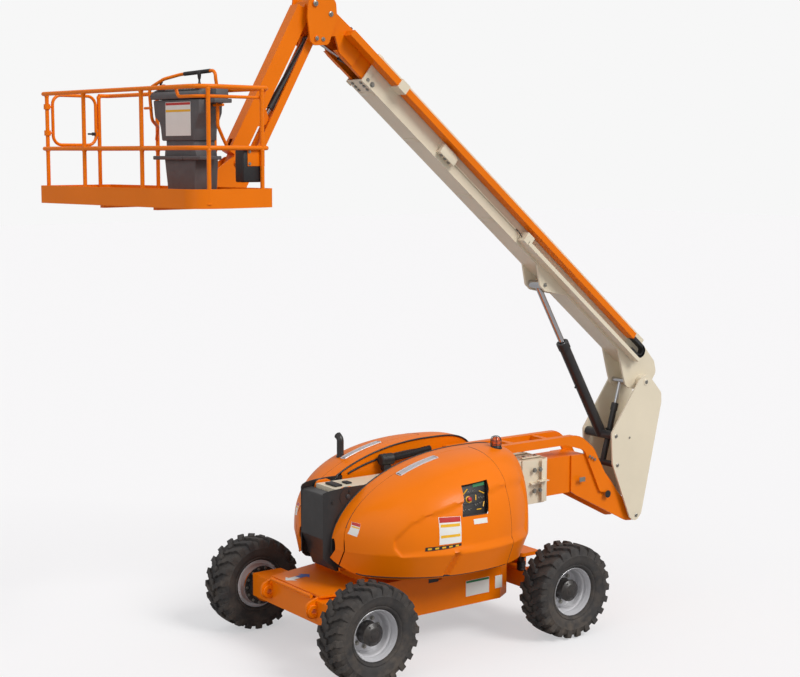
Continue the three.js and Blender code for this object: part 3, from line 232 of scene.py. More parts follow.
ORANGE = finish("orange_gloss_paint", srgb(233, 117, 0), 0.38, tone=0.04, grain=1.6, bump=0.05,
                bump_scale=38, coat=0.1, coat_roughness=0.14, dust=0.14, dust_colour=srgb(165, 88, 22),
                specular=0.16)
CREAM = finish("cream_boom_paint", srgb(224, 213, 190), 0.34, tone=0.03, grain=1.8, bump=0.05,
               bump_scale=40, coat=0.3, coat_roughness=0.16, dust=0.3, dust_colour=srgb(150, 136, 112))
BLACK = finish("black_satin_paint", srgb(38, 36, 37), 0.42, tone=0.2, grain=5, bump=0.08, bump_scale=60,
               coat=0.15, dust=0.5, dust_colour=srgb(96, 84, 72))
RUBBER = finish("tyre_rubber", srgb(50, 48, 48), 0.78, tone=0.22, grain=7, rough_spread=0.12, bump=0.35,
                bump_scale=150, dust=0.75, dust_colour=srgb(104, 92, 80))
HOSE = finish("black_hose_rubber", srgb(30, 29, 31), 0.5, tone=0.2, grain=20, bump=0.25, bump_scale=260)
SILVER = finish("silver_wheel_paint", srgb(202, 202, 206), 0.36, tone=0.05, grain=6, bump=0.06,
                bump_scale=90, metallic=0.15, dust=0.12, dust_colour=srgb(140, 128, 116))
CHROME = finish("chromed_rod", srgb(200, 200, 203), 0.12, tone=0.03, grain=5, rough_spread=0.05, bump=0.03,
                bump_scale=200, metallic=1.0)
ZINC = finish("zinc_plated_steel", srgb(158, 156, 150), 0.34, tone=0.12, grain=30, bump=0.12,
              bump_scale=220, metallic=0.9)
GREY = finish("grey_moulded_plastic", srgb(86, 84, 86), 0.55, tone=0.1, grain=12, bump=0.3, bump_scale=320)
DARK = finish("black_moulded_plastic", srgb(32, 31, 33), 0.5, tone=0.15, grain=14, bump=0.3, bump_scale=320)
AMBER = finish("amber_beacon_lens", srgb(214, 88, 12), 0.16, tone=0.08, grain=30, bump=0.05, bump_scale=60,
               coat=0.6)
IRON = finish("engine_iron", srgb(66, 66, 68), 0.55, tone=0.2, grain=14, bump=0.4, bump_scale=90,
              metallic=0.5)
WHITE = finish("white_vinyl_plate", srgb(226, 226, 222), 0.4, tone=0.02, grain=10, bump=0.03,
               bump_scale=120)
RED = finish("red_plastic", srgb(184, 26, 22), 0.35, tone=0.06, grain=20, bump=0.05, bump_scale=120,
             coat=0.3)
YELLOW = finish("yellow_plastic", srgb(232, 176, 30), 0.4, tone=0.06, grain=20, bump=0.05, bump_scale=120)
GREEN = finish("green_vinyl_band", srgb(32, 122, 74), 0.4, tone=0.04, grain=20, bump=0.03, bump_scale=120)
BLUE = finish("blue_vinyl_arrow", srgb(38, 84, 160), 0.4, tone=0.04, grain=20, bump=0.03, bump_scale=120)
FINISH_OF_SLOT = {
    "orange_paint": ORANGE, "cream_paint": CREAM, "black_paint": BLACK, "tyre_rubber": RUBBER,
    "silver_paint": SILVER, "chrome_rod": CHROME, "grey_plastic": GREY, "amber_lens": AMBER,
    "black_rubber": HOSE, "engine_iron": IRON,
}


# ---------------------------------------------------------------- making pieces


class Form:
    """Mesh parts gathered into one piece of one finish."""

    def __init__(self):
        self.points, self.faces = [], []

    def add(self, points, faces):
        """Adds corners, and faces that number them from 0."""
        start = len(self.points)
        self.points += [Vector(p) for p in points]
        self.faces += [[i + start for i in f] for f in faces]
        return self

    def block(self, low, high, round_by=0.002):
        """A box with broken edges, between two corners."""
        bm = bmesh.new()
        bmesh.ops.create_cube(bm, size=1)
        low, high = Vector(low), Vector(high)
        size = high - low
        for v in bm.verts:
            v.co = Vector((v.co.x * size.x, v.co.y * size.y, v.co.z * size.z)) + (low + high) / 2
        if round_by:
            bmesh.ops.bevel(bm, geom=bm.edges[:], offset=min(round_by, 0.45 * min(abs(s) for s in size)),
                            segments=2, affect="EDGES", profile=0.5)
        return self.take(bm)

    def take(self, bm):
        """Adds a finished bmesh, and frees it."""
        index = {v: i for i, v in enumerate(bm.verts)}
        self.add([v.co.copy() for v in bm.verts], [[index[v] for v in f.verts] for f in bm.faces])
        bm.free()
        return self

    def lathe(self, origin, axis, profile, steps=48):
        """Turns (radius, height) pairs round an axis; the ends close when their radius is zero."""
        axis = Vector(axis).normalized()
        side = axis.orthogonal().normalized()
        up = axis.cross(side)
        rings, points, faces = [], [], []
        for radius, height in profile:
            if radius < 1e-6:
                rings.append([len(points)])
                points.append(origin + axis * height)
                continue
            rings.append(list(range(len(points), len(points) + steps)))
            for k in range(steps):
                a = 2 * math.pi * k / steps
                points.append(origin + axis * height + (side * math.cos(a) + up * math.sin(a)) * radius)
        for a, b in zip(rings, rings[1:]):
            for k in range(steps):
                n = (k + 1) % steps
                if len(a) == 1 and len(b) == 1:
                    continue
                if len(a) == 1:
                    faces.append([a[0], b[k], b[n]])
                elif len(b) == 1:
                    faces.append([a[k], b[0], a[n]])
                else:
                    faces.append([a[k], b[k], b[n], a[n]])
        return self.add(points, faces)

    def tube(self, path, radius, sides=14, closed=False):
        """A round tube along points; its ends are capped unless it closes on itself."""
        path = [Vector(p) for p in path]
        n = len(path)
        tangents = []
        for i in range(n):
            before = path[(i - 1) % n] if closed or i else path[i]
            after = path[(i + 1) % n] if closed or i < n - 1 else path[i]
            tangents.append((after - before).normalized())
        side = tangents[0].orthogonal().normalized()
        points, faces = [], []
        for i in range(n):
            side = (side - tangents[i] * side.dot(tangents[i])).normalized()
            up = tangents[i].cross(side)
            for k in range(sides):
                a = 2 * math.pi * k / sides
                points.append(path[i] + (side * math.cos(a) + up * math.sin(a)) * radius)
        spans = n if closed else n - 1
        for i in range(spans):
            j = (i + 1) % n
            for k in range(sides):
                m = (k + 1) % sides
                faces.append([i * sides + k, i * sides + m, j * sides + m, j * sides + k])
        if not closed:
            faces.append(list(range(sides))[::-1])
            faces.append(list(range((n - 1) * sides, n * sides)))
        return self.add(points, faces)

    def prism(self, outline, along, start, end, round_by=0.0):
        """An outline of 3-D points in a plane, drawn out along a direction from start to end."""
        bm = bmesh.new()
        along = Vector(along).normalized()
        low = [bm.verts.new(Vector(p) + along * start) for p in outline]
        high = [bm.verts.new(Vector(p) + along * end) for p in outline]
        bm.faces.new(low[::-1])
        bm.faces.new(high)
        n = len(outline)
        for i in range(n):
            bm.faces.new([low[i], low[(i + 1) % n], high[(i + 1) % n], high[i]])
        if round_by:
            bmesh.ops.recalc_face_normals(bm, faces=bm.faces[:])
            bmesh.ops.bevel(bm, geom=bm.edges[:], offset=round_by, segments=2, affect="EDGES", profile=0.5)
        return self.take(bm)


def bent(points, steps=9):
    """A path through points, each fourth number being the radius of the bend there."""
    path = []
    for i, p in enumerate(points):
        here = Vector(p[:3])
        radius = p[3] if len(p) > 3 else 0
        if not radius or i in (0, len(points) - 1):
            path.append(here)
            continue
        before = (Vector(points[i - 1][:3]) - here).normalized()
        after = (Vector(points[i + 1][:3]) - here).normalized()
        half = before.angle(after) / 2
        reach = radius / math.tan(half)
        centre = here + (before + after).normalized() * (radius / math.sin(half))
        a, b = here + before * reach - centre, here + after * reach - centre
        turn = a.angle(b)
        for k in range(steps + 1):
            f = k / steps
            path.append(centre + (a * math.sin(turn * (1 - f)) + b * math.sin(turn * f)) / math.sin(turn))
    return path


def settle(obj, material, body, angle=35.0, replaces=()):
    """Gives a new piece its finish, body and slot, and shades it smooth up to an angle."""
    mesh = obj.data
    mesh.materials.clear()
    mesh.materials.append(material)
    if angle is not None:
        mesh.set_sharp_from_angle(angle=math.radians(angle))
        for polygon in mesh.polygons:
            polygon.use_smooth = True
    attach(obj, body)
    if replaces:
        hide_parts(*replaces)
    return obj


def piece(name, form, material, body, angle=35.0, replaces=(), turn_out=True):
    """Makes a form one piece of the machine; turn_out points its faces outwards."""
    mesh = bpy.data.meshes.new(name)
    mesh.from_pydata(form.points, [], form.faces)
    if turn_out:
        bm = bmesh.new()
        bm.from_mesh(mesh)
        bmesh.ops.recalc_face_normals(bm, faces=bm.faces[:])
        bm.to_mesh(mesh)
        bm.free()
    obj = bpy.data.objects.new(name, mesh)
    bpy.context.scene.collection.objects.link(obj)
    return settle(obj, material, body, angle, replaces)


def through_nodes(obj, group, **values):
    """Runs a node tree on a piece and keeps its result as a plain mesh."""
    modifier = obj.modifiers.new("build", "NODES")
    modifier.node_group = group
    for item in group.interface.items_tree:
        if item.item_type == "SOCKET" and item.in_out == "INPUT" and item.name in values:
            modifier[item.identifier] = values[item.name]
    bpy.context.view_layer.update()
    graph = bpy.context.evaluated_depsgraph_get()
    made = bpy.data.meshes.new_from_object(obj.evaluated_get(graph))
    obj.modifiers.remove(modifier)
    obj.data = made
    return obj


def node_tree(name, sockets):
    """A Geometry Nodes tree with (name, kind, value) inputs, and its two end nodes."""
    tree = bpy.data.node_groups.new(name, "GeometryNodeTree")
    tree.interface.new_socket("Geometry", in_out="INPUT", socket_type="NodeSocketGeometry")
    for label, kind, value in sockets:
        socket = tree.interface.new_socket(label, in_out="INPUT", socket_type=kind)
        if value is not None:
            socket.default_value = value
    tree.interface.new_socket("Geometry", in_out="OUTPUT", socket_type="NodeSocketGeometry")
    return tree, tree.nodes.new("NodeGroupInput"), tree.nodes.new("NodeGroupOutput")


def repeat_tree():
    """Copies the piece it is given Count times, each moved by Step and turned by Turn about Pivot."""
    tree, given, out = node_tree("repeated_round_or_along", [
        ("Count", "NodeSocketInt", 4), ("Step", "NodeSocketVector", (0, 0, 0)),
        ("Turn", "NodeSocketVector", (0, 0, 0)), ("Pivot", "NodeSocketVector", (0, 0, 0)),
        ("Finish", "NodeSocketMaterial", None)])
    new, join = tree.nodes.new, tree.links.new
    single = new("GeometryNodeGeometryToInstance")
    copies = new("GeometryNodeDuplicateElements")
    copies.domain = "INSTANCE"
    shift = new("ShaderNodeVectorMath")
    shift.operation = "SCALE"
    spin = new("ShaderNodeVectorMath")
    spin.operation = "SCALE"
    turned = new("GeometryNodeRotateInstances")
    turned.inputs["Local Space"].default_value = False
    moved = new("GeometryNodeTranslateInstances")
    moved.inputs["Local Space"].default_value = False
    real = new("GeometryNodeRealizeInstances")
    paint = new("GeometryNodeSetMaterial")
    join(given.outputs["Geometry"], single.inputs[0])
    join(single.outputs[0], copies.inputs["Geometry"])
    join(given.outputs["Count"], copies.inputs["Amount"])
    join(given.outputs["Step"], shift.inputs[0])
    join(copies.outputs["Duplicate Index"], shift.inputs["Scale"])
    join(given.outputs["Turn"], spin.inputs[0])
    join(copies.outputs["Duplicate Index"], spin.inputs["Scale"])
    join(copies.outputs["Geometry"], turned.inputs["Instances"])
    join(spin.outputs[0], turned.inputs["Rotation"])
    join(given.outputs["Pivot"], turned.inputs["Pivot Point"])
    join(turned.outputs[0], moved.inputs["Instances"])
    join(shift.outputs[0], moved.inputs["Translation"])
    join(moved.outputs[0], real.inputs[0])
    join(real.outputs[0], paint.inputs["Geometry"])
    join(given.outputs["Finish"], paint.inputs["Material"])
    join(paint.outputs[0], out.inputs[0])
    return tree


REPEATED = repeat_tree()


def repeated(obj, count, step=(0, 0, 0), turn=(0, 0, 0), pivot=(0, 0, 0)):
    """Repeats a settled piece in a row or a ring."""
    material = obj.data.materials[0]
    through_nodes(obj, REPEATED, Count=count, Step=step, Turn=turn, Pivot=pivot, Finish=material)
    obj.data.set_sharp_from_angle(angle=math.radians(35))
    return obj


def bolt_tree():
    """Sets a washer and a hexagon head on every point of a mesh, facing along its Facing attribute."""
    tree, given, out = node_tree("bolt_heads", [
        ("Across", "NodeSocketFloat", 0.024), ("Height", "NodeSocketFloat", 0.012),
        ("Finish", "NodeSocketMaterial", None)])
    new, join = tree.nodes.new, tree.links.new
    dots = new("GeometryNodeMeshToPoints")
    facing = new("GeometryNodeInputNamedAttribute")
    facing.data_type = "FLOAT_VECTOR"
    facing.inputs["Name"].default_value = "Facing"
    align = new("FunctionNodeAlignRotationToVector")
    align.axis = "Z"
    head = new("GeometryNodeMeshCone")
    head.inputs["Vertices"].default_value = 6
    washer = new("GeometryNodeMeshCylinder")
    washer.inputs["Vertices"].default_value = 20

    def scaled(source, factor):
        node = new("ShaderNodeMath")
        node.operation = "MULTIPLY"
        node.inputs[1].default_value = factor
        join(source, node.inputs[0])
        return node.outputs[0]

    across, height = given.outputs["Across"], given.outputs["Height"]
    join(scaled(across, 0.577), head.inputs["Radius Bottom"])
    join(scaled(across, 0.52), head.inputs["Radius Top"])
    join(height, head.inputs["Depth"])
    join(scaled(across, 0.8), washer.inputs["Radius"])
    join(scaled(height, 0.5), washer.inputs["Depth"])
    both = new("GeometryNodeJoinGeometry")
    join(head.outputs["Mesh"], both.inputs[0])
    join(washer.outputs["Mesh"], both.inputs[0])
    place = new("GeometryNodeInstanceOnPoints")
    real = new("GeometryNodeRealizeInstances")
    paint = new("GeometryNodeSetMaterial")
    join(given.outputs["Geometry"], dots.inputs["Mesh"])
    join(dots.outputs[0], place.inputs["Points"])
    join(both.outputs[0], place.inputs["Instance"])
    join(facing.outputs["Attribute"], align.inputs["Vector"])
    join(align.outputs["Rotation"], place.inputs["Rotation"])
    join(place.outputs[0], real.inputs[0])
    join(real.outputs[0], paint.inputs["Geometry"])
    join(given.outputs["Finish"], paint.inputs["Material"])
    join(paint.outputs[0], out.inputs[0])
    return tree


BOLTS = bolt_tree()


def bolts(name, places, across, height, material, body):
    """Bolt heads at (point, facing) places."""
    mesh = bpy.data.meshes.new(name)
    mesh.from_pydata([p for p, _ in places], [], [])
    facing = mesh.attributes.new("Facing", "FLOAT_VECTOR", "POINT")
    for i, (_, f) in enumerate(places):
        facing.data[i].vector = Vector(f).normalized()
    obj = bpy.data.objects.new(name, mesh)
    bpy.context.scene.collection.objects.link(obj)
    through_nodes(obj, BOLTS, Across=across, Height=height, Finish=material)
    return settle(obj, material, body)


def refined(node, edge=0.0018, angle=32.0):
    """A welded copy of a CAD node with broken edges and smooth round faces, in its place."""
    source = frame["nodes"][node]
    mesh = source.data.copy()
    mesh.name = node + "_skin"
    obj = bpy.data.objects.new(mesh.name, mesh)
    bpy.context.scene.collection.objects.link(obj)
    bm = bmesh.new()
    bm.from_mesh(mesh)
    bmesh.ops.remove_doubles(bm, verts=bm.verts[:], dist=0.0001)
    bmesh.ops.dissolve_limit(bm, angle_limit=math.radians(0.6), verts=bm.verts[:], edges=bm.edges[:])
    bm.to_mesh(mesh)
    bm.free()
    mesh.set_sharp_from_angle(angle=math.radians(angle + 14))
    for polygon in mesh.polygons:
        polygon.use_smooth = True
    if edge:
        soften = obj.modifiers.new("edge", "BEVEL")
        soften.width = edge
        soften.segments = 2
        soften.limit_method = "ANGLE"
        soften.angle_limit = math.radians(angle)
        soften.use_clamp_overlap = True
    flat = obj.modifiers.new("flat", "WEIGHTED_NORMAL")
    flat.keep_sharp = True
    bpy.context.view_layer.update()
    graph = bpy.context.evaluated_depsgraph_get()
    made = bpy.data.meshes.new_from_object(obj.evaluated_get(graph))
    obj.modifiers.clear()
    obj.data = made
    slot = source.data.materials[0].name.split(".")[0]
    return settle(obj, FINISH_OF_SLOT[slot], BODY_OF[node], angle=None, replaces=[node])


# ---------------------------------------------------------------- wheels

LUGS = 22
WHEEL_NUTS, HUB_BOLTS = 9, 6
PITCH = math.tau / LUGS


def tyre(kind, side, out):
    """A carcass turned on its axle, and two rows of lugs that lean from the crown to the shoulder."""
    node = f"{kind}_tyre_{side}"
    low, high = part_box(node)
    middle = (low + high) / 2
    half = (high.y - low.y) / 2
    top = (high.z - low.z) / 2
    tread = top - 0.034

    carcass = Form()
    wall = [(0.251, -0.118), (0.262, -0.14), (0.272, -0.15), (0.283, -0.152), (0.29, -0.147),
            (0.30, -0.158), (0.34, -0.169), (0.375, -0.172), (0.384, -0.176), (0.392, -0.171),
            (0.425, -0.163), (0.446, -0.15), (tread, -0.128), (tread + 0.004, -0.06),]
    profile = wall + [(tread + 0.005, 0)] + [(r, -y) for r, y in reversed(wall)]
    carcass.lathe(middle, (0, 1, 0), profile + [profile[0]], steps=88)
    piece(f"{kind}_tyre_carcass_{side}", carcass, RUBBER, BODY_OF[node], angle=40,
          replaces=[node])

    for hand in (1, -1):
        lug = Form()
        lean = 0.62 * PITCH
        # Sections run from the crown over the shoulder: across, foot radius, face radius, half width, lean.
        sections = [(-0.008, tread - 0.01, top - 0.002, 0.20, 0.0),
                    (0.028, tread - 0.01, top - 0.001, 0.21, 0.05),
                    (0.055, tread - 0.01, top - 0.0015, 0.225, 0.42),
                    (0.098, tread - 0.012, top - 0.003, 0.24, 0.60),
                    (0.128, tread - 0.016, top - 0.006, 0.26, 0.98),
                    (half - 0.012, tread - 0.05, top - 0.013, 0.27, 1.0),
                    (half - 0.003, tread - 0.056, top - 0.04, 0.27, 1.0),
                    (half - 0.006, tread - 0.07, top - 0.085, 0.20, 1.0),]
        points, faces = [], []
        for across, foot, face, wide, shift in sections:
            centre = lean * shift + (0 if hand > 0 else PITCH / 2)
            for angle, radius in ((-wide, foot), (-wide * 0.86, face), (wide * 0.86, face), (wide, foot)):
                a = centre + angle * PITCH
                points.append(middle + Vector((math.sin(a) * radius, hand * out * across,
                                               math.cos(a) * radius)))
        for i in range(len(sections) - 1):
            for k in range(4):
                n = (k + 1) % 4
                faces.append([i * 4 + k, i * 4 + n, i * 4 + 4 + n, i * 4 + 4 + k])
        faces += [[0, 1, 2, 3], [len(points) - 1, len(points) - 2, len(points) - 3, len(points) - 4]]
        lug.add(points, faces)
        obj = piece(f"{kind}_tyre_lugs_{side}_{'outer' if hand > 0 else 'inner'}", lug, RUBBER,
                    BODY_OF[node], angle=25)
        soften = obj.modifiers.new("worn", "BEVEL")
        soften.width, soften.segments = 0.0035, 2
        soften.limit_method, soften.angle_limit = "ANGLE", math.radians(24)
        repeated(obj, LUGS, turn=(0, PITCH, 0), pivot=middle)


def rim(kind, side, out):
    """A dished rim with its hub, nuts and valve."""
    node = f"{kind}_wheel_{side}"
    tyre_low, tyre_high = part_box(f"{kind}_tyre_{side}")
    low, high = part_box(node)
    middle = Vector(((low.x + high.x) / 2, (tyre_low.y + tyre_high.y) / 2, (low.z + high.z) / 2))
    shell = Form()
    shell.lathe(middle, (0, out, 0), [(0.2445, 0.128), (0.2495, 0.124), (0.2495, 0.116), (0.244, 0.112),
                                      (0.2405, 0.100), (0.232, 0.096), (0.226, 0.088), (0.224, 0.052),
                                      (0.216, 0.044), (0.207, 0.032), (0.205, -0.01), (0.203, -0.040),
                                      (0.196, -0.049), (0.178, -0.052), (0.165, -0.048), (0.128, -0.046),
                                      (0.121, -0.042), (0.113, -0.041), (0.0, -0.041),], steps=72)
    shell.lathe(middle, (0, out, 0), [(0.0, -0.0862), (0.113, -0.0862), (0.12, -0.082), (0.165, -0.080),
                                      (0.2, -0.085), (0.212, -0.095), (0.22, -0.104), (0.226, -0.11),
                                      (0.242, -0.112), (0.2495, -0.118), (0.2495, -0.126), (0.2445, -0.128),
                                      (0.240, -0.126), (0.236, -0.118), (0.214, -0.113), (0.209, -0.10),
                                      (0.207, 0.03), (0.218, 0.046), (0.226, 0.056), (0.228, 0.09),
                                      (0.2445, 0.128),], steps=72)
    piece(f"{kind}_rim_{side}", shell, SILVER, BODY_OF[node], angle=38, replaces=[node])
    hub = Form()
    hub.lathe(middle, (0, out, 0), [(0.112, -0.043), (0.112, -0.028), (0.108, -0.024), (0.1075, 0.058),
                                    (0.112, 0.062), (0.112, 0.076), (0.104, 0.084), (0.088, 0.090),
                                    (0.074, 0.102), (0.070, 0.104), (0.046, 0.106), (0.042, 0.112),
                                    (0.026, 0.114), (0.022, 0.1155), (0.0, 0.1165),], steps=56)
    piece(f"{kind}_hub_{side}", hub, BLACK, BODY_OF[node], angle=30)
    face = Vector((0, out, 0))
    studs = [(middle + Vector((math.cos(a) * 0.140, out * -0.036, math.sin(a) * 0.140)), face)
             for a in (math.tau * (k + 0.5) / WHEEL_NUTS for k in range(WHEEL_NUTS))]
    bolts(f"{kind}_wheel_nuts_{side}", studs, 0.028, 0.018, ZINC, BODY_OF[node])
    caps = [(middle + Vector((math.cos(a) * 0.09, out * 0.088, math.sin(a) * 0.09)), face)
            for a in (math.tau * k / HUB_BOLTS for k in range(HUB_BOLTS))]
    bolts(f"{kind}_hub_bolts_{side}", caps, 0.012, 0.006, BLACK, BODY_OF[node])
    valve = Form().tube([middle + Vector((0.0, out * -0.03, 0.198)), middle + Vector((0.0, 0, 0.194)),
                         middle + Vector((0.0, out * 0.03, 0.186))], 0.005, 8)
    piece(f"{kind}_valve_{side}", valve, ZINC, BODY_OF[node])


for kind in ("drive", "steer"):
    for side, s in SIDES:
        tyre(kind, side, s)
        rim(kind, side, s)


# ---------------------------------------------------------------- welded steelwork

for node in ("chassis_frame", "drive_axle", "steer_axle", "steer_cylinder", "tie_rod",
             "lockout_cylinder_left", "lockout_cylinder_right", "steer_knuckle_left", "steer_knuckle_right",
             "swing_bearing", "turntable_frame", "engine", "hydraulic_tank", "tower_base_boom",
             "tower_fly_boom", "tower_gooseneck", "upright", "tower_lift_barrel", "tower_lift_rod",
             "main_base_boom", "cable_tray", "main_fly_boom", "hose_track_tube", "hose_track_bend",
             "main_lift_barrel", "main_lift_rod", "master_barrel", "master_rod", "jib_bracket",
             "slave_barrel", "slave_rod", "jib_arm", "jib_link", "jib_lift_barrel", "jib_lift_rod",
             "jib_head",):
    refined(node)


# ---------------------------------------------------------------- hoods

SLOT = 270  # half the slot between the two hoods
SEAM = 430  # the long seam, from the middle
END_SEAM = 470  # where the door ends, towards the steered wheels
GAP = 2.5  # half a seam's width
WALL = 0.007
SKIRT_TOP, SKIRT_FOOT, SKIRT_TUCK = 1110, 880, 95
CONTOUR = [(-805, 1186), (-800, 1270), (-735, 1346), (-664, 1420), (-509, 1505), (-144, 1599), (216, 1668),
           (532, 1701), (797, 1681), (860, 1420), (770, 1126), (434, 1130), (-208, 1152), (-746, 1094)]
GROOVE = [(-250, 1096), (-312, 905)]
WINDOW = [(-82, 1736), (240, 1758), (152, 1452), (-162, 1456)]


def span(v, half, power):
    """A rounded arch, from 1 in the middle to 0 at half."""
    return max(0.0, 1 - abs(v / half) ** power) ** (1 / power)


def hood_top(x):
    """The height of the hood over the slot."""
    return SKIRT_TOP + 860 * (span(x - 450, 1582, 2) if x < 450 else span(x - 450, 702, 4))


def hood_side(x):
    """How far the hood stands out at its widest."""
    return max(300.0, 1200 * (span(x, 1165, 2) if x < 0 else span(x, 1150, 2.5)))


def hood_foot(x):
    """The skirt's lower edge, which lifts over the steered wheels and at the nose."""
    if x > 720:
        f = min(1.0, (x - 720) / 120)
        return SKIRT_FOOT + 50 * f * f * (3 - 2 * f)
    return SKIRT_FOOT if x > -940 else SKIRT_TOP - 230 * span(x + 940, 200, 2)


def to_segment(x, z, a, b):
    """How far a point lies from the line between two points."""
    dx, dz = b[0] - a[0], b[1] - a[1]
    f = max(0.0, min(1.0, ((x - a[0]) * dx + (z - a[1]) * dz) / (dx * dx + dz * dz)))
    return math.hypot(x - a[0] - f * dx, z - a[1] - f * dz)


def sunk(x, z):
    """The side panel is pressed in behind a soft step, and a groove crosses the skirt."""
    inside, near = False, 1e9
    for a, b in zip(CONTOUR, CONTOUR[1:] + CONTOUR[:1]):
        near = min(near, to_segment(x, z, a, b))
        if (a[1] > z) != (b[1] > z) and x < (b[0] - a[0]) * (z - a[1]) / (b[1] - a[1]) + a[0]:
            inside = not inside
    step = min(1.0, near / 26) if inside else 0.0
    dent = max(0.0, 1 - to_segment(x, z, *GROOVE) / 34)
    return 26 * step * step * (3 - 2 * step) + 36 * min(1.0, dent * 2)


def crest_and_shoulder(side, top):
    """Where the crown ends, from the middle, and where the skirt ends, from the ground."""
    return min(340, SLOT + (side - SLOT) * 0.4), min(SKIRT_TOP, top - 5)


def hood_section(x, u):
    """The hood's outline at x: skirt for u below 1, shoulder to 2, crown to 3 at the slot."""
    side, top = hood_side(x), hood_top(x)
    crest, middle = crest_and_shoulder(side, top)
    if u < 1:
        y, z = side - SKIRT_TUCK * (1 - u), hood_foot(x) + (middle - hood_foot(x)) * u
    elif u < 2:
        w = math.pi / 2 * (1 - (1 - (u - 1) ** 1.25) ** 1.39)
        y, z = crest + (side - crest) * math.cos(w) ** 0.72, middle + (top - middle) * math.sin(w) ** 0.8
    else:
        y, z = crest - (crest - SLOT) * (u - 2), top - 8 * (u - 2)
    return (y - sunk(x, z) if u < 2 else y), z


def hood_y(x, z):
    """How far the hood's outer face lies from the middle at a height."""
    side, top = hood_side(x), hood_top(x)
    crest, middle = crest_and_shoulder(side, top)
    if z < middle:
        return side - SKIRT_TUCK * (middle - z) / (middle - hood_foot(x)) - sunk(x, z)
    w = math.asin(min(1.0, (z - middle) / (top - middle)) ** 1.25)
    return crest + (side - crest) * math.cos(w) ** 0.72 - sunk(x, z)


def seam_at(x, y):
    """Where along the outline the long seam lies."""
    low, high = 1.0, 2.0
    for _ in range(24):
        middle = (low + high) / 2
        if hood_section(x, middle)[0] > y:
            low = middle
        else:
            high = middle
    return low


def skin_grid(form, s, xs, start, end, rows):
    """A sheet of the hood along xs, between two places on its outline."""
    points = []
    for x in xs:
        a, b = start(x), end(x)
        for k in range(rows + 1):
            y, z = hood_section(x, a + (b - a) * k / rows)
            points.append(at(x, s * y, z))
    faces = []
    for i in range(len(xs) - 1):
        for k in range(rows):
            a = i * (rows + 1) + k
            quad = [a, a + 1, a + rows + 2, a + rows + 1]
            faces.append(quad if s > 0 else quad[::-1])
    form.add(points, faces)


def baked(obj, angle=35.0):
    """Keeps the result of a piece's modifiers as its own mesh."""
    bpy.context.view_layer.update()
    made = bpy.data.meshes.new_from_object(obj.evaluated_get(bpy.context.evaluated_depsgraph_get()))
    obj.modifiers.clear()
    obj.data = made
    made.set_sharp_from_angle(angle=math.radians(angle))
    return obj


def thickened(obj, wall, angle=35.0):
    """Gives a sheet its wall, inwards from its outer face."""
    skin = obj.modifiers.new("wall", "SOLIDIFY")
    skin.thickness, skin.offset = wall, -1
    return baked(obj, angle)


def between(start, end, count, power=1.0):
    """Numbers from start to end, closer together near the start when power is over 1."""
    return [start + (end - start) * (k / count) ** power for k in range(count + 1)]


def on_patch(corners, f, g):
    """A place on a four-cornered patch: f along its first edge, g towards the opposite one."""
    top = [corners[0][i] * (1 - f) + corners[1][i] * f for i in (0, 1)]
    low = [corners[3][i] * (1 - f) + corners[2][i] * f for i in (0, 1)]
    return tuple(top[i] * (1 - g) + low[i] * g for i in (0, 1))


def laid(name, corners, material, body, s=-1, lift=1.5, steps=14):
    """A thin plate lying on the hood, between four (x, z) corners taken in turn."""
    points = []
    for level in (lift, lift - 2.5):
        for i in range(steps + 1):
            for k in range(steps + 1):
                x, z = on_patch(corners, i / steps, k / steps)
                points.append(at(x, s * (hood_y(x, z) + level), z))
    n, faces = steps + 1, []
    for base in (0, n * n):
        faces += [[base + i * n + k, base + i * n + k + 1, base + (i + 1) * n + k + 1,
                   base + (i + 1) * n + k] for i in range(steps) for k in range(steps)]
    edge = ([(0, k) for k in range(steps)] + [(i, steps) for i in range(steps)]
            + [(steps, k) for k in range(steps, 0, -1)] + [(i, 0) for i in range(steps, 0, -1)])
    for (i, k), (j, m) in zip(edge, edge[1:] + edge[:1]):
        faces.append([i * n + k, j * n + m, n * n + j * n + m, n * n + i * n + k])
    return piece(name, Form().add(points, faces), material, body, angle=40)


def part_of(corners, f0, g0, f1, g1):
    """A smaller four-cornered patch of a plate."""
    return [on_patch(corners, f, g) for f, g in ((f0, g0), (f1, g0), (f1, g1), (f0, g1))]


def cut_window(door):
    """Cuts the opening over the ground controls."""
    cutter = Form().prism([at(x, -1350, z) for x, z in WINDOW], (0, 1, 0), 0, 0.5)
    mesh = bpy.data.meshes.new("window_tool")
    mesh.from_pydata(cutter.points, [], cutter.faces)
    tool = bpy.data.objects.new("window_tool", mesh)
    bpy.context.scene.collection.objects.link(tool)
    hole = door.modifiers.new("window", "BOOLEAN")
    hole.operation, hole.solver, hole.object = "DIFFERENCE", "EXACT", tool
    baked(door, 48)
    bpy.data.objects.remove(tool)


def hood_door(side, s):
    """The lifting side of a hood; the right hand one has the window over the controls."""
    door = Form()
    skin_grid(door, s, between(-1083, END_SEAM - GAP, 120, 1.5), lambda x: 0,
              lambda x: seam_at(x, SEAM + GAP), 84)
    door = piece(f"hood_door_skin_{side}", door, ORANGE, f"hood_{side}", turn_out=False,
                 replaces=[f"hood_door_{side}"])
    thickened(door, WALL, angle=48)
    if s < 0:
        cut_window(door)


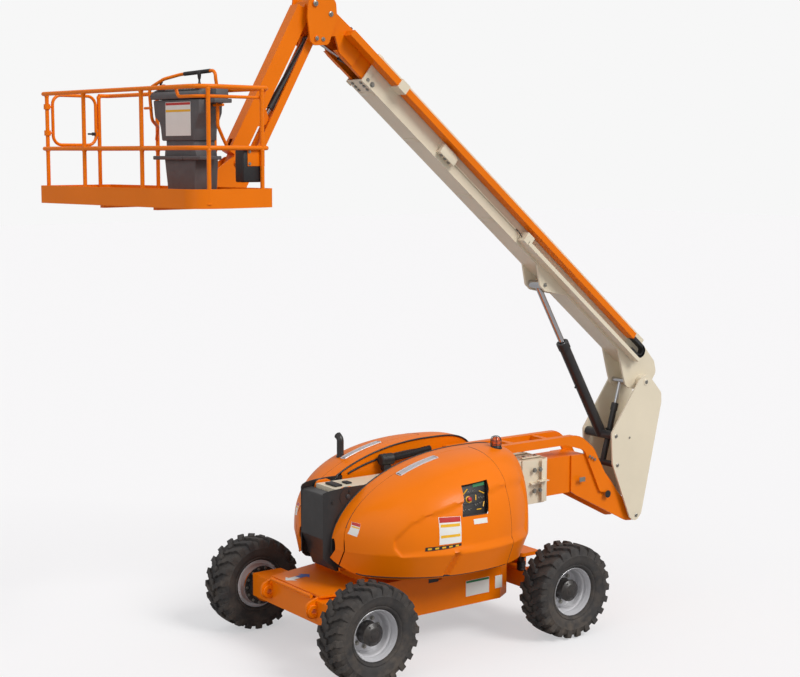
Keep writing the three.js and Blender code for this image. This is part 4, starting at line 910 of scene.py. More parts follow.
def hood_cover(side, s):
    """The fixed end, crown and nose of a hood."""
    cover = Form()
    skin_grid(cover, s, between(-1120, -1088, 14, 1.4), lambda x: 0, lambda x: 3, 84)
    skin_grid(cover, s, between(-1090, END_SEAM + 6, 110, 1.5), lambda x: seam_at(x, SEAM - GAP),
              lambda x: 3, 22)
    skin_grid(cover, s, between(1132, END_SEAM + GAP, 60, 2.0)[::-1], lambda x: 0, lambda x: 3, 92)
    cover = piece(f"hood_cover_skin_{side}", cover, ORANGE, "turntable", turn_out=False,
                  replaces=[f"hood_cover_{side}"])
    thickened(cover, WALL, angle=48)


def slot_wall(side, s):
    """The hood's inner wall, down the slot where the tower boom lies."""
    points, faces = [], []
    xs = between(-640, 1112, 70)
    for x in xs:
        points += [at(x, s * (SLOT + 1), max(hood_top(x) - 8 - 40 * k, min(1640, hood_top(x) - 40)))
                   for k in range(9)]
    for i in range(len(xs) - 1):
        for k in range(8):
            a = i * 9 + k
            faces.append([a, a + 1, a + 10, a + 9])
    wall = piece(f"hood_slot_wall_{side}", Form().add(points, faces), ORANGE, "turntable",
                 turn_out=False)
    bpy.context.view_layer.update()
    thickened(wall, 0.005 if s > 0 else -0.005)


def hood_seals(side, s):
    """Rubber along the slot and both seams, and the bead under the skirt."""
    seal = Form()
    seal.tube([at(x, s * (SLOT - 3), hood_top(x) - 75 - 0.05 * (x + 560)) for x in between(-560, 420, 50)],
              0.011, 10)
    seal.tube([at(x, s * (SLOT - 4), hood_top(x) - 8) for x in between(-1060, 1110, 90)], 0.009, 10)
    seal.tube([at(x, s * (SEAM + 0.5), hood_section(x, seam_at(x, SEAM))[1] - 7)
               for x in between(-1060, END_SEAM, 70)], 0.006, 8)
    seal.tube([at(END_SEAM, s * (hood_section(END_SEAM, u)[0] - 7), hood_section(END_SEAM, u)[1] - 3)
               for u in between(0.02, seam_at(END_SEAM, SEAM), 60)], 0.006, 8)
    piece(f"hood_seals_{side}", seal, HOSE, "turntable")

    bead = Form()
    bead.tube([at(x, s * (hood_section(x, 0)[0] - 6), hood_foot(x) + 3)
               for x in between(-1000, END_SEAM - 30, 80)], 0.008, 8)
    piece(f"hood_skirt_edge_{side}", bead, HOSE, f"hood_{side}")


def hood_vent(side, s):
    """A slatted vent that lies on the shoulder next to the long seam."""
    slats, bed = Form(), Form()
    for form, x, width, top in [(slats, -452 + 17.5 * k, 5.5, 7)
                                for k in range(25)] + [(bed, -242, 222, 2)]:
        points, faces = [], []
        for i in range(9):
            u = seam_at(x, 458) + (seam_at(x, 528) - seam_at(x, 458)) * i / 8
            for dx, up in ((-width, -2), (-width, top), (width, top), (width, -2)):
                y, z = hood_section(x + dx, u)
                points.append(at(x + dx, s * y, z + up))
            if i:
                faces += [[4 * i - 4 + c, 4 * i - 4 + (c + 1) % 4, 4 * i + (c + 1) % 4, 4 * i + c]
                          for c in range(4)]
        faces += [[0, 1, 2, 3], [35, 34, 33, 32]]
        form.add(points, faces)
    piece(f"hood_vent_slats_{side}", slats, SILVER, f"hood_{side}")
    piece(f"hood_vent_bed_{side}", bed, DARK, f"hood_{side}")
    corners = ([(x, 452) for x in between(-470, -14, 20)] + [(-8, 470), (-8, 516)]
               + [(x, 534) for x in between(-14, -470, 20)] + [(-476, 516), (-476, 470)])
    outline = [at(x, s * y, hood_section(x, seam_at(x, y))[1] + 3) for x, y in corners]
    piece(f"hood_vent_frame_{side}", Form().tube(outline, 0.006, 8, closed=True), SILVER, f"hood_{side}")


BIG_PLATE = [(-402, 1474), (-183, 1470), (-200, 1222), (-420, 1212)]
SMALL_PLATE = [(-41, 1424), (126, 1420), (126, 1370), (-41, 1374)]
STRIP = [(-545, 1192), (-200, 1212), (-202, 1182), (-549, 1156)]
NOSE_PLATE = [(-1020, 1404), (-984, 1396), (-1022, 1270), (-1064, 1290)]


def hood_plates(side, s):
    """Blank plates with plain colour bands, and a dark strip with yellow marks."""
    body = f"hood_{side}"
    for name, corners, band in (("data", BIG_PLATE, 0.2), ("nose", NOSE_PLATE, 0.24)):
        laid(f"{name}_plate_{side}", corners, WHITE, body, s)
        laid(f"{name}_plate_head_{side}", part_of(corners, 0.02, 0.01, 0.98, band), RED, body,
             s, 2.2)
        laid(f"{name}_plate_band_{side}", part_of(corners, 0.06, band + 0.06, 0.94, band + 0.17), YELLOW,
             body, s, 2.2)
    laid(f"data_plate_second_band_{side}", part_of(BIG_PLATE, 0.06, 0.66, 0.94, 0.76), YELLOW, body,
         s, 2.2)
    laid(f"dark_strip_{side}", STRIP, DARK, body, s, 4, 30)
    for k in range(5):
        laid(f"strip_mark_{k}_{side}", part_of(STRIP, 0.06 + 0.19 * k, 0.25, 0.16 + 0.19 * k, 0.75), YELLOW,
             body, s, 5, 8)


for side, s in SIDES:
    for make in (hood_door, hood_cover, slot_wall, hood_seals, hood_vent):
        make(side, s)
for side, s in SIDES:
    hood_plates(side, s)
laid("small_plate_right", SMALL_PLATE, WHITE, "hood_right")

# ---------------------------------------------------------------- ground controls


def ground_controls():
    """The sloping panel behind the right hood's window, with its switches and stop button."""
    panel = Form()
    deep = [at(-86, -960, 1738), at(262, -960, 1760), at(176, -1086, 1448), at(-166, -1080, 1452)]
    facing = (deep[1] - deep[0]).cross(deep[3] - deep[0]).normalized()
    if facing.y > 0:
        facing = -facing
    panel.prism(deep, facing, -0.03, 0, 0.004)
    panel.block(at(-140, -940, 1245), at(150, -862, 1700), 0.012)
    piece("ground_control_panel", panel, DARK, "turntable", replaces=["ground_controls"])

    def on_panel(f, g, out=0.0):
        """A point on the control panel, across and down from its top left corner."""
        top, low = deep[0].lerp(deep[1], f), deep[3].lerp(deep[2], f)
        return top.lerp(low, g) + facing * out

    lip = Form()
    rim_path = [on_panel(f, g, 0.004) for f, g in ((-0.02, 0.08), (-0.02, 0.92), (0.04, 1.02), (0.96, 1.02),
                                                   (1.02, 0.92), (1.02, 0.08), (0.96, -0.02),
                                                   (0.04, -0.02))]
    lip.tube(rim_path, 0.008, 10, closed=True)
    for g in (0.36, 0.66):
        lip.tube([on_panel(0.04, g, 0.001), on_panel(0.96, g, 0.001)], 0.003, 8)
    piece("ground_control_lip", lip, HOSE, "turntable")
    plate = Form()
    plate.prism([on_panel(0.5, 0.08), on_panel(0.92, 0.08), on_panel(0.92, 0.18), on_panel(0.5, 0.18)],
                facing, 0.0, 0.003)
    piece("ground_control_display", plate, GREEN, "turntable")
    marks = Form()
    for f0, g0, f1, g1 in ((0.14, 0.34, 0.3, 0.2), (0.72, 0.32, 0.9, 0.42), (0.9, 0.66, 0.86, 0.8),
                           (0.62, 0.86, 0.78, 0.86), (0.6, 0.42, 0.6, 0.58)):
        marks.tube([on_panel(f0 + (f1 - f0) * k / 4, g0 + (g1 - g0) * k / 4, 0.002) for k in range(5)],
                   0.006, 8)
    marks.lathe(on_panel(0.34, 0.52), facing, [(0.022, 0.001), (0.034, 0.001), (0.034, 0.004),
                                               (0.022, 0.004), (0.022, 0.001)], 32)
    piece("ground_control_marks", marks, YELLOW, "turntable")
    toggle = Form()
    for f, g in ((0.14, 0.5), (0.14, 0.66), (0.16, 0.84), (0.36, 0.84), (0.36, 0.3), (0.52, 0.3),
                 (0.72, 0.52), (0.76, 0.68), (0.6, 0.72), (0.84, 0.54)):
        p = on_panel(f, g)
        toggle.lathe(p, facing, [(0, 0), (0.009, 0), (0.009, 0.003), (0.005, 0.005), (0.004, 0.014),
                                 (0, 0.014)], 16)
        toggle.tube([p + facing * 0.012, p + facing * 0.03 + Vector((0, 0, 0.007))], 0.003, 8)
    piece("ground_control_switches", toggle, ZINC, "turntable")
    stop = Form().lathe(on_panel(0.34, 0.52), facing, [(0, 0), (0.014, 0), (0.014, 0.014), (0.023, 0.016),
                                                       (0.023, 0.026), (0.016, 0.032), (0, 0.034)], 28)
    piece("ground_stop_button", stop, RED, "turntable")


ground_controls()


# ---------------------------------------------------------------- nose

refined("counterweight", edge=0.006)


def nose_side(side, s):
    """A black panel beside the tower's foot, with its boss, pin and bolts."""
    nose = Form()
    stations = [(-1180, 200, 1000, 1650), (-1150, 224, 960, 1668), (-1100, 243, 920, 1680),
                (-1000, 256, 890, 1690), (-880, 262, 876, 1695), (-760, 264, 872, 1695),
                (-640, 265, 870, 1690)]
    points = [at(x, s * y, low + (high - low) * k / 12) for x, y, low, high in stations for k in range(13)]
    faces = []
    for i in range(len(stations) - 1):
        for k in range(12):
            a = i * 13 + k
            quad = [a, a + 1, a + 14, a + 13]
            faces.append(quad if s > 0 else quad[::-1])
    nose = piece(f"nose_side_{side}", nose.add(points, faces), BLACK, "turntable",
                 turn_out=False)
    thickened(nose, 0.008)
    cap = Form().lathe(at(-920, s * 262, 1600), (0, s, 0), [(0, -0.004), (0.024, -0.004), (0.024, 0.006),
                                                            (0.018, 0.011), (0, 0.012)], 32)
    boss = Form().lathe(at(-920, s * 222, 1600), (0, s, 0), [(0.0, 0), (0.0945, 0), (0.0945, 0.038),
                                                             (0, 0.038)], 64)
    piece(f"nose_boss_{side}", boss, BLACK, "turntable")
    piece(f"nose_pin_cap_{side}", cap, IRON, "turntable")
    bolts(f"nose_bolts_{side}", [(at(x, s * y, z), (-0.1, s, 0)) for x, y,
                                 z in ((-1090, 246, 1050), (-1090, 246, 1560), (-980, 258, 950),
                                       (-900, 261, 1650))], 0.026, 0.012, BLACK, "turntable")


for side, s in SIDES:
    nose_side(side, s)

# ---------------------------------------------------------------- beacon, exhaust and air cleaner


def beacon():
    """An amber lamp in a wire cage, on the right hood's fixed end."""
    base, dome, cage = Form(), Form(), Form()
    foot = at(742, -535, 1940)
    base.lathe(foot, (0, 0, 1), [(0, -0.02), (0.062, -0.02), (0.062, 0.014), (0.054, 0.022), (0.05, 0.034),
                                 (0, 0.034)], 40)
    dome.lathe(foot, (0, 0, 1), [(0.046, 0.033), (0.046, 0.08), (0.043, 0.096), (0.036, 0.11),
                                 (0.022, 0.119), (0, 0.122)], 40)
    for k in range(6):
        a = math.tau * k / 6
        way = Vector((math.cos(a), math.sin(a), 0))
        cage.tube([foot + way * 0.056 + Vector((0, 0, 0.01)), foot + way * 0.057 + Vector((0, 0, 0.09)),
                   foot + way * 0.047 + Vector((0, 0, 0.116)), foot + way * 0.022 + Vector((0, 0, 0.129)),
                   foot + Vector((0, 0, 0.131))], 0.0034, 8)
    for high, wide in ((0.05, 0.057), (0.088, 0.057)):
        cage.tube([foot + Vector((math.cos(math.tau * k / 36) * wide, math.sin(math.tau * k / 36) * wide,
                                  high)) for k in range(36)], 0.0028, 8, closed=True)
    piece("beacon_base", base, DARK, "turntable", replaces=["beacon"])
    piece("beacon_dome", dome, AMBER, "turntable")
    piece("beacon_cage", cage, BLACK, "turntable")


beacon()


def exhaust_pipe():
    """A pipe that stands up out of the left hood, with a bent top."""
    pipe = Form()
    bend = [at(*p) for p in bent([(-430, 604, 1752), (-430, 604, 1996, 50), (-430, 640, 2016)], 8)]
    pipe.tube(bend, 0.037, 28)
    lean = (bend[-1] - bend[-2]).normalized()
    pipe.lathe(bend[-1], lean, [(0.0375, -0.004), (0.0385, 0.014), (0.033, 0.014), (0.032, -0.02),
                                (0, -0.02)], 28)
    pipe.lathe(at(-430, 604, 1800), (0, 0, 1), [(0.036, 0), (0.045, 0), (0.045, 0.012), (0.036, 0.012)], 28)
    piece("exhaust_pipe", pipe, BLACK, "hood_left", replaces=["exhaust_stub"])


exhaust_pipe()


def air_cleaner():
    """A can in the slot between the hoods, with its ribbed hose."""
    cleaner, hose = Form(), Form()
    can = at(-205, 200, 1806)
    cleaner.lathe(can, (1, 0, 0), [(0, 0), (0.05, 0), (0.06, 0.008), (0.06, 0.05), (0.063, 0.052),
                                   (0.063, 0.07), (0.06, 0.072), (0.06, 0.15), (0.034, 0.162), (0, 0.162)],
                  44)
    cleaner.block(at(-175, 165, 1690), at(-85, 235, 1750), 0.004)
    lean = Vector((1, 0, 0.1)).normalized()
    rings = [(0.029 if k % 2 else 0.035, 0.5 * k / 70) for k in range(71)]
    hose.lathe(can + Vector((0.15, 0, 0)), lean, [(0, 0)] + rings + [(0, 0.5)], 28)
    piece("air_cleaner", cleaner, DARK, "turntable")
    piece("air_hose", hose, HOSE, "turntable")


air_cleaner()


# ---------------------------------------------------------------- chassis


CHASSIS_SIDE = 590
DRIVE_X, AXLE_Z = -1240, 490
HUB_FACE = 868  # the drive hubs' bolted face, from the middle
HUB_BOLT_COUNT, RING_BOLT_COUNT = 14, 40


def side_plate(name, x0, x1, z0, z1, y, material, body="chassis"):
    """A thin blank plate fixed to a side, facing away from the middle."""
    form = Form().block(at(x0, min(y, y * 1.004), z0), at(x1, max(y, y * 1.004), z1), 0.0006)
    return piece(name, form, material, body)


def chassis_side(side, s):
    """Blank plates, painted shade for a tie-down pocket, and bolt heads on one side of the frame."""
    side_plate(f"load_plate_{side}", 312, 620, 450, 615, s * CHASSIS_SIDE, WHITE)
    side_plate(f"load_plate_head_{side}", 316, 616, 590, 611, s * (CHASSIS_SIDE + 2.2), GREEN)
    side_plate(f"small_plate_{side}", 701, 796, 472, 605, s * CHASSIS_SIDE, WHITE)
    # Painted shade: a thin dark plate on the flat side stands for the shade inside a tie-down pocket.
    painted_shade_patch = Form().block(at(-168, s * (CHASSIS_SIDE + 1) - 2, 672),
                          at(-42, s * (CHASSIS_SIDE + 1) + 2, 712), 0.001)
    piece(f"tie_down_painted_shade_{side}", painted_shade_patch, DARK, "chassis")
    bolts(f"chassis_side_bolts_{side}", [(at(x, s * (CHASSIS_SIDE + 0.5), z), (0, s, 0)) for x,
                                         z in ((-520, 420), (-460, 420), (-460, 480))], 0.024, 0.011,
          ORANGE, "chassis")


def drive_hub(side, s):
    """The bolted ring between the drive beam and its wheel."""
    ring = Form().lathe(at(DRIVE_X, s * HUB_FACE, AXLE_Z), (0, s, 0),
                        [(0.105, -0.0960), (0.157, -0.0960), (0.157, 0), (0.2, 0), (0.2, 0.016),
                         (0.105, 0.016), (0.105, -0.0960)], 56)
    piece(f"drive_hub_ring_{side}", ring, BLACK, "chassis")
    bolts(f"drive_hub_bolts_{side}", [(at(DRIVE_X + 180 * math.cos(a), s * (HUB_FACE - 1),
                                          AXLE_Z + 180 * math.sin(a)), (0, -s, 0))
                                      for a in (math.tau * k / HUB_BOLT_COUNT
                                                for k in range(HUB_BOLT_COUNT))], 0.02, 0.011, ZINC,
          "chassis")


def lifting_lug(side, s):
    """The ring welded round a lifting eye on the drive end."""
    lug = Form().lathe(at(-1448, s * 380, 572), (0, s, 0), [(0.03, 0), (0.06, 0), (0.066, 0.006),
                                                            (0.066, 0.064), (0.06, 0.07), (0.03, 0.07),
                                                            (0.03, 0)], 40)
    piece(f"lifting_lug_ring_{side}", lug, ORANGE, "chassis")


def steer_leads(side, s):
    """Three leads from the frame to the steer axle."""
    lead = Form()
    for dy, dz in ((0, 0), (18, 8), (-16, 12)):
        path = bent([(1180, 330 + dy, 660 + dz), (1060, 360 + dy, 690 + dz, 40),
                     (940, 430 + dy, 640 + dz, 50), (840, 470 + dy, 630 + dz)])
        lead.tube([at(p.x, s * p.y, p.z) for p in path], 0.008, 10)
    piece(f"steer_leads_{side}", lead, HOSE, "chassis")


def lockout_boot(side, s):
    """The ribbed boot over a lockout cylinder's rod."""
    boot = Form().lathe(at(1178, s * 450, 560), (0, 0, 1),
                        [(0.0385, 0)] + [(0.05 if k % 2 else 0.042, 0.004 + 0.008 * k)
                                         for k in range(12)] + [(0.0385, 0.1)], 28)
    piece(f"lockout_boot_{side}", boot, HOSE, "chassis")


for side, s in SIDES:
    for make in (chassis_side, drive_hub, lifting_lug, steer_leads, lockout_boot):
        make(side, s)

bar = Form().tube([at(-1428, y, 704) for y in between(-372, 372, 12)], 0.017, 18)
piece("frame_front_bar", bar, ORANGE, "chassis")


def deck_arrow():
    """A white and a blue arrow on the deck, which point opposite ways along the machine."""
    centre, way = at(-1200, 238, 713.5), (at(-1046, 263, 713.5) - at(-1354, 214, 713.5)).normalized()
    across = Vector((-way.y, way.x, 0))
    for sign, material, name in ((-1, WHITE, "deck_arrow_back"), (1, BLUE, "deck_arrow_front")):
        outline = [(0, 40), (84, 40), (84, 88), (162, 0), (84, -88), (84, -40), (0, -40)]
        shape = Form().prism([centre + way * (sign * a * MM) + across * (sign * b * MM) for a,
                              b in outline], (0, 0, 1), 0, 0.0012)
        piece(name, shape, material, "chassis")


deck_arrow()


bolts("swing_ring_bolts", [(at(478 * math.cos(a), 478 * math.sin(a), 764), (0, 0, -1))
                           for a in (math.tau * k / RING_BOLT_COUNT for k in range(RING_BOLT_COUNT))],
      0.024, 0.01, ZINC, "chassis")


# ---------------------------------------------------------------- booms

MAIN = math.radians(39.7)  # how far the main boom is raised


def boom(x, y, z):
    """A point in the main boom's frame: x runs back from the tip to the pivot, z square to the boom."""
    return at(3205 + x * math.cos(MAIN) + z * math.sin(MAIN), y,
              2381 - x * math.sin(MAIN) + z * math.cos(MAIN))


UNDER = boom(0, 0, -1) - boom(0, 0, 0)


def pin_cap(name, x, y, z, radius, body, material=ZINC):
    """A pin's keeper plate and bolt head on both cheeks."""
    caps, radius = Form(), radius * 0.86
    for s in (1, -1):
        caps.lathe(at(x, s * y, z), (0, s, 0), [(0, -0.002), (radius, -0.002), (radius, 0.005),
                                                (radius * 0.82, 0.008), (0, 0.008)], 36)
        caps.lathe(at(x, s * (y + 8), z), (0, s, 0), [(0, 0), (radius * 0.5, 0), (radius * 0.42, 0.008),
                                                      (0, 0.008)], 6)
    return piece(name, caps, material, body)


def pin_keepers():
    """A keeper on each end of the pins of the upright, the boom, the bracket and the head."""
    for name, x, z, radius in (("pivot", 3205, 2381, 0.03), ("main_lift", 2746, 1803, 0.026),
                               ("master", 2776, 1466, 0.026), ("tower", 3085, 849, 0.026)):
        pin_cap(f"upright_{name}_pin", x, 242, z, radius, "upright")
    pin_cap("upright_small_pin", 2957, 242, 1765, 0.014, "upright")
    pin_cap("lift_lug_pin", boom(-1869, 0, -26).x / MM - MIDDLE.x / MM, 131, 3555, 0.026, "main_boom")
    for name, x, z, radius in (("jib", -1209, 6376, 0.032), ("boom", -1028, 6286, 0.03),
                               ("link", -1195, 6050, 0.024), ("slave", -1117, 6046, 0.024)):
        pin_cap(f"bracket_{name}_pin", x, 162 if name in ("jib", "link") else 150, z, radius, "jib_bracket")
    pin_cap("head_pin", -2043, 101, 4872, 0.028, "jib_head")


pin_keepers()


def tower_collar():
    """The bolted collar where the tower's fly slides out."""
    bolts("tower_collar_bolts", [(at(x, s * 235.5, z), (0, s, 0)) for s in (1, -1) for x in (1540, 1625)
                                 for z in (1560, 1331)], 0.034, 0.016, ZINC, "tower_base")
    collar = Form()
    for s in (1, -1):
        collar.block(at(1560, min(s * 236, s * 300), 1436), at(1700, max(s * 236, s * 300), 1447), 0.002)
        collar.block(at(1640, min(s * 234, s * 242), 1200), at(1712, max(s * 234, s * 242), 1672), 0.003)
    collar.block(at(1440, -150, 1679), at(1700, -70, 1690), 0.003)
    collar.block(at(1440, 70, 1679), at(1700, 150, 1690), 0.003)
    piece("tower_collar_plates", collar, CREAM, "tower_base")
    bolts("tower_top_bolts", [(at(x, y, 1690.5), (0, 0, 1)) for x in (1490, 1650) for y in (-110, 110)],
          0.03, 0.014, ZINC, "tower_base")


tower_collar()


def tower_fittings():
    """Rubber pads on the tower, and a plate, bolts and plugs on its tip."""
    pads = Form().block(at(-960, -92, 1668.5), at(-872, 92, 1690), 0.006)
    pads.block(at(-790, -46, 1668.5), at(-726, 46, 1686), 0.005)
    piece("tower_top_pads", pads, HOSE, "tower_base")

    tower = Form().block(at(2215, -225.5, 1340), at(2300, -222.4, 1392), 0.0008)
    piece("tower_tip_plate", tower, ZINC, "tower_fly")
    bolts("gooseneck_bolts", [(at(x, s * 222.5, z), (0, s, 0)) for s in (1, -1) for x,
                              z in ((2368, 1613), (2407, 1592), (2446, 1570))], 0.02, 0.009, ZINC,
          "tower_fly")
    plug = Form()
    for s in (1, -1):
        plug.lathe(at(2653, s * 222.3, 1149), (0, s, 0), [(0, 0), (0.042, 0), (0.042, 0.003),
                                                          (0.034, 0.0045), (0, 0.002)], 40)
    piece("tower_tip_plugs", plug, HOSE, "tower_fly")


tower_fittings()


def boom_fittings():
    """The main boom's end plates, guides, bolts and switch."""
    bolts("boom_end_bolts", [(boom(x, s * 130.5, 115), (0, s, 0)) for s in (1, -1) for x in (-5030, -4955)],
          0.034, 0.016, ZINC, "main_boom")
    bolts("boom_under_bolts", [(boom(x, y, 69.6), UNDER) for x in (-5040, -4990, -4940) for y in (-72, 72)],
          0.026, 0.012, ZINC, "main_boom")
    ends = Form()
    low, high = 62, 404
    for y0, y1 in ((-137, -130.5), (130.5, 137)):
        ends.prism([boom(-5080, y0, low), boom(-5010, y0, low), boom(-5010, y0, high),
                    boom(-5080, y0, high)], (0, 1, 0), 0, (y1 - y0) * MM, 0.0015)
    bracket_outline = [(-3930, 120), (-3700, 120), (-3700, 205), (-3760, 226), (-3930, 226)]
    ends.prism([boom(x, 0, z) for x, z in bracket_outline], (0, 1, 0), -0.198, -0.1305, 0.004)
    ends.tube([boom(x, -140, 172) for x in between(-3705, -2600, 20)], 0.0075, 12)
    for x in (-4900, -4200, -3300, -2900):
        ends.prism([boom(x, 0, z) for x, z in ((x, 66), (x + 60, 66), (x + 60, 70.2), (x, 70.2))],
                   (0, 1, 0), -0.1, 0.1, 0.001)
    piece("boom_guides", ends, CREAM, "main_boom")
    bolts("boom_guide_bolts", [(boom(x, -165, 119.5), UNDER) for x in (-3880, -3820, -3760)], 0.026, 0.012,
          ZINC, "main_boom")
    switch = Form()
    switch.prism([boom(x, 0, z) for x, z in ((-2482, 104), (-2434, 104), (-2434, 158), (-2482, 158))],
                 (0, 1, 0), -0.232, -0.158, 0.005)
    wire = bent([(-2604, -140, 172), (-2560, -146, 176, 30), (-2520, -176, 150, 30), (-2478, -190, 134)])
    switch.tube([boom(*p) for p in wire], 0.006, 10)
    piece("boom_switch", switch, HOSE, "main_boom")


boom_fittings()


def hose_chain():
    """Chain links on the hose carrier's long run, and rivets round its bend."""
    link = Form()
    link.prism([boom(x, 0, z) for x, z in ((-2200, 258), (-2164, 258), (-2160, 266), (-2160, 288),
                                           (-2164, 296), (-2200, 296))], (0, 1, 0), -0.2385, -0.2345, 0.001)
    link = piece("hose_chain_links", link, IRON, "hose_track")
    step = boom(46, 0, 0) - boom(0, 0, 0)
    repeated(link, 40, step=step)
    curl = Form()
    for k in range(13):
        a = -math.pi / 2 + math.pi * k / 12
        middle = (136.3 + 297.3) / 2
        outer = (297.3 - 136.3) / 2 - 20
        x, z = -310 + outer * math.cos(a), middle + outer * math.sin(a)
        curl.lathe(boom(x, -237, z), (0, 1, 0), [(0, -0.003), (0.017, -0.003), (0.017, 0.001), (0, 0.001)],
                   14)
    piece("hose_chain_curl", curl, IRON, "hose_track")


hose_chain()


def tip_hoses():
    """Hoses over the boom's tip, in two clamps."""
    tip = Form()
    for k in range(5):
        y = -62 + 27 * k
        path = bent([(-5090, y, 333), (-5230, y, 352, 60), (-5420, y * 0.9, 388, 90),
                     (-5545, y * 0.8, 372, 50), (-5580, y * 0.8, 330)])
        tip.tube([boom(*p) for p in path], 0.0105, 12)
    for x, z in ((-5330, 374), (-5470, 396)):
        tip.prism([boom(x, 0, z - 26), boom(x + 24, 0, z - 26), boom(x + 24, 0, z + 6), boom(x, 0, z + 6)],
                  (0, 1, 0), -0.084, 0.07, 0.003)
    piece("tip_hoses", tip, HOSE, "main_fly")


tip_hoses()


def cylinder_head(name, foot, end, radius):
    """The head of a cylinder's barrel, and a port about halfway up the barrel."""
    body = f"{name}_barrel"
    _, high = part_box(f"{name}_barrel")
    way = (end - foot).normalized()
    top = (high.z - foot.z - radius * math.sqrt(1 - way.z * way.z)) / way.z
    head = Form().lathe(foot + way * top, way, [(radius - 0.001, -0.09), (radius + 0.007, -0.088),
                                                (radius + 0.007, -0.004), (radius + 0.002, 0.001),
                                                (radius * 0.68, 0.002)], 48)
    piece(f"{name}_gland", head, BLACK, body)
    side = Vector((0, 1, 0)).cross(way).normalized()
    front = -side if side.x > 0 else side
    port = Form().lathe(foot + way * top * 0.55 + front * radius, front, [
        (0, -0.01), (0.016, -0.01), (0.016, 0.01), (0.011, 0.012), (0.011, 0.022), (0, 0.022)], 24)
    piece(f"{name}_ports", port, HOSE, body)


cylinder_head("main_lift", at(2746, 0, 1803), boom(-1869, 0, -26), 0.062)
cylinder_head("master", at(2776, 0, 1466), boom(-140, 0, -105), 0.034)


# ---------------------------------------------------------------- platform

YAW = math.radians(8.65)  # the platform stands turned by this much
X_OUT, X_IN, Y_END = -916.5, -173.5, 1206.5  # the rails' middle lines
RAIL_TOP, RAIL_MIDDLE, RAIL = 1010, 505, 0.019
FLOOR_TOP = 34.5
HINGE_X = X_OUT + 60
CORNER, CORNER_LEAN = 190, math.radians(26)


def deck(x, y, z):
    """A point in the platform's own frame, which turns about the jib's end."""
    return at(-2375 + x * math.cos(YAW) - y * math.sin(YAW), 15 + x * math.sin(YAW) + y * math.cos(YAW),
              4505 + z)


def decked(points, steps=9):
    """A bent path in the platform's own frame."""
    return [deck(*p) for p in bent(points, steps)]


refined("platform_floor", edge=0.003)


def floor_grip():
    """Staggered studs over the platform's floor."""
    grip = Form()
    for i in range(13):
        for k in range(36):
            x, y = -900 + 57 * i, -1150 + 64 * k + (32 if i % 2 else 0)
            if abs(y) < 1190 and not (x < -800 and y < -1080):
                grip.lathe(deck(x, y, 33), (0, 0, 1), [(0, 0), (0.012, 0), (0.009, 0.0025), (0, 0.003)], 10)
    piece("platform_floor_grip", grip, ORANGE, "platform")


floor_grip()


def platform_rails():
    """The rails, posts and sockets, the hand rail, and the guard round the console."""
    rails = Form()
    top_run = [(X_IN - 110, Y_END, RAIL_TOP), (X_IN, Y_END, RAIL_TOP, 60), (X_IN, -Y_END, RAIL_TOP, 60),
               (X_OUT, -Y_END, RAIL_TOP, CORNER), (X_OUT, Y_END, RAIL_TOP, 55), (HINGE_X, Y_END, RAIL_TOP)]
    middle_run = [(HINGE_X, Y_END, RAIL_MIDDLE), (X_IN, Y_END, RAIL_MIDDLE, 60),
                  (X_IN, -Y_END, RAIL_MIDDLE, 60), (X_OUT, -Y_END, RAIL_MIDDLE, CORNER),
                  (X_OUT, Y_END, RAIL_MIDDLE, 55), (X_OUT + 59, Y_END, RAIL_MIDDLE)]
    for run in (top_run, middle_run):
        rails.tube(decked(run, 14), RAIL, 20)
    posts = [(X_OUT, 500), (X_OUT, -390),
             (X_OUT + CORNER * (1 - math.sin(CORNER_LEAN)), -Y_END + CORNER * (1 - math.cos(CORNER_LEAN))),
             (X_IN - 80, -Y_END), (X_IN, 410), (X_IN, -450), (X_IN - 110, Y_END), (HINGE_X, Y_END)]
    for x, y in posts:
        rails.tube([deck(x, y, FLOOR_TOP), deck(x, y, RAIL_TOP)], RAIL * 0.97, 20)
        rails.lathe(deck(x, y, FLOOR_TOP), (0, 0, 1), [(0, 0), (0.026, 0), (0.026, 0.006), (0.0185, 0.012)],
                    20)
    for x, y in posts:
        for high in (RAIL_TOP, RAIL_MIDDLE):
            rails.lathe(deck(x, y, high - 32), (0, 0, 1), [(0.0185, 0), (0.0225, 0.012), (0.0185, 0.024)],
                        20)
    # A hand rail inside the right hand end, and a guard round the console.
    rails.tube(decked([(-893, -860, 1000), (-893, -890, 930, 40), (-893, -1180, 930, 150),
                       (-215, -1180, 930, 40), (-200, -1180, 1000)]), 0.014, 16)
    guard = [(-192, 400, 590), (-290, 240, 700, 60), (-440, 122, 760, 60), (-470, 116, 1040, 70),
             (-420, -40, 1120, 120), (-330, -170, 1160, 120), (-330, -670, 1178, 50),
             (-330, -675, 1110, 50), (-300, -660, 1010, 60), (-300, -660, 700, 60), (-240, -650, 600, 40),
             (-180, -640, 512)]
    rails.tube(decked(guard), 0.015, 16)
    rails.tube([deck(-470, 188, 866), deck(-470, 80, 866)], 0.012, 14)
    rails.tube([deck(-300, -580, 880), deck(-300, -740, 880)], 0.012, 14)
    piece("platform_rail_tubes", rails, ORANGE, "platform", angle=50,
          replaces=["platform_rails"])
    held = Form().tube([deck(-330, y, 1160.2 - (170 + y) * 0.036) for y in between(-230, -600, 30)], 0.0185,
                       18)
    piece("platform_guard_grip", held, HOSE, "platform")


platform_rails()


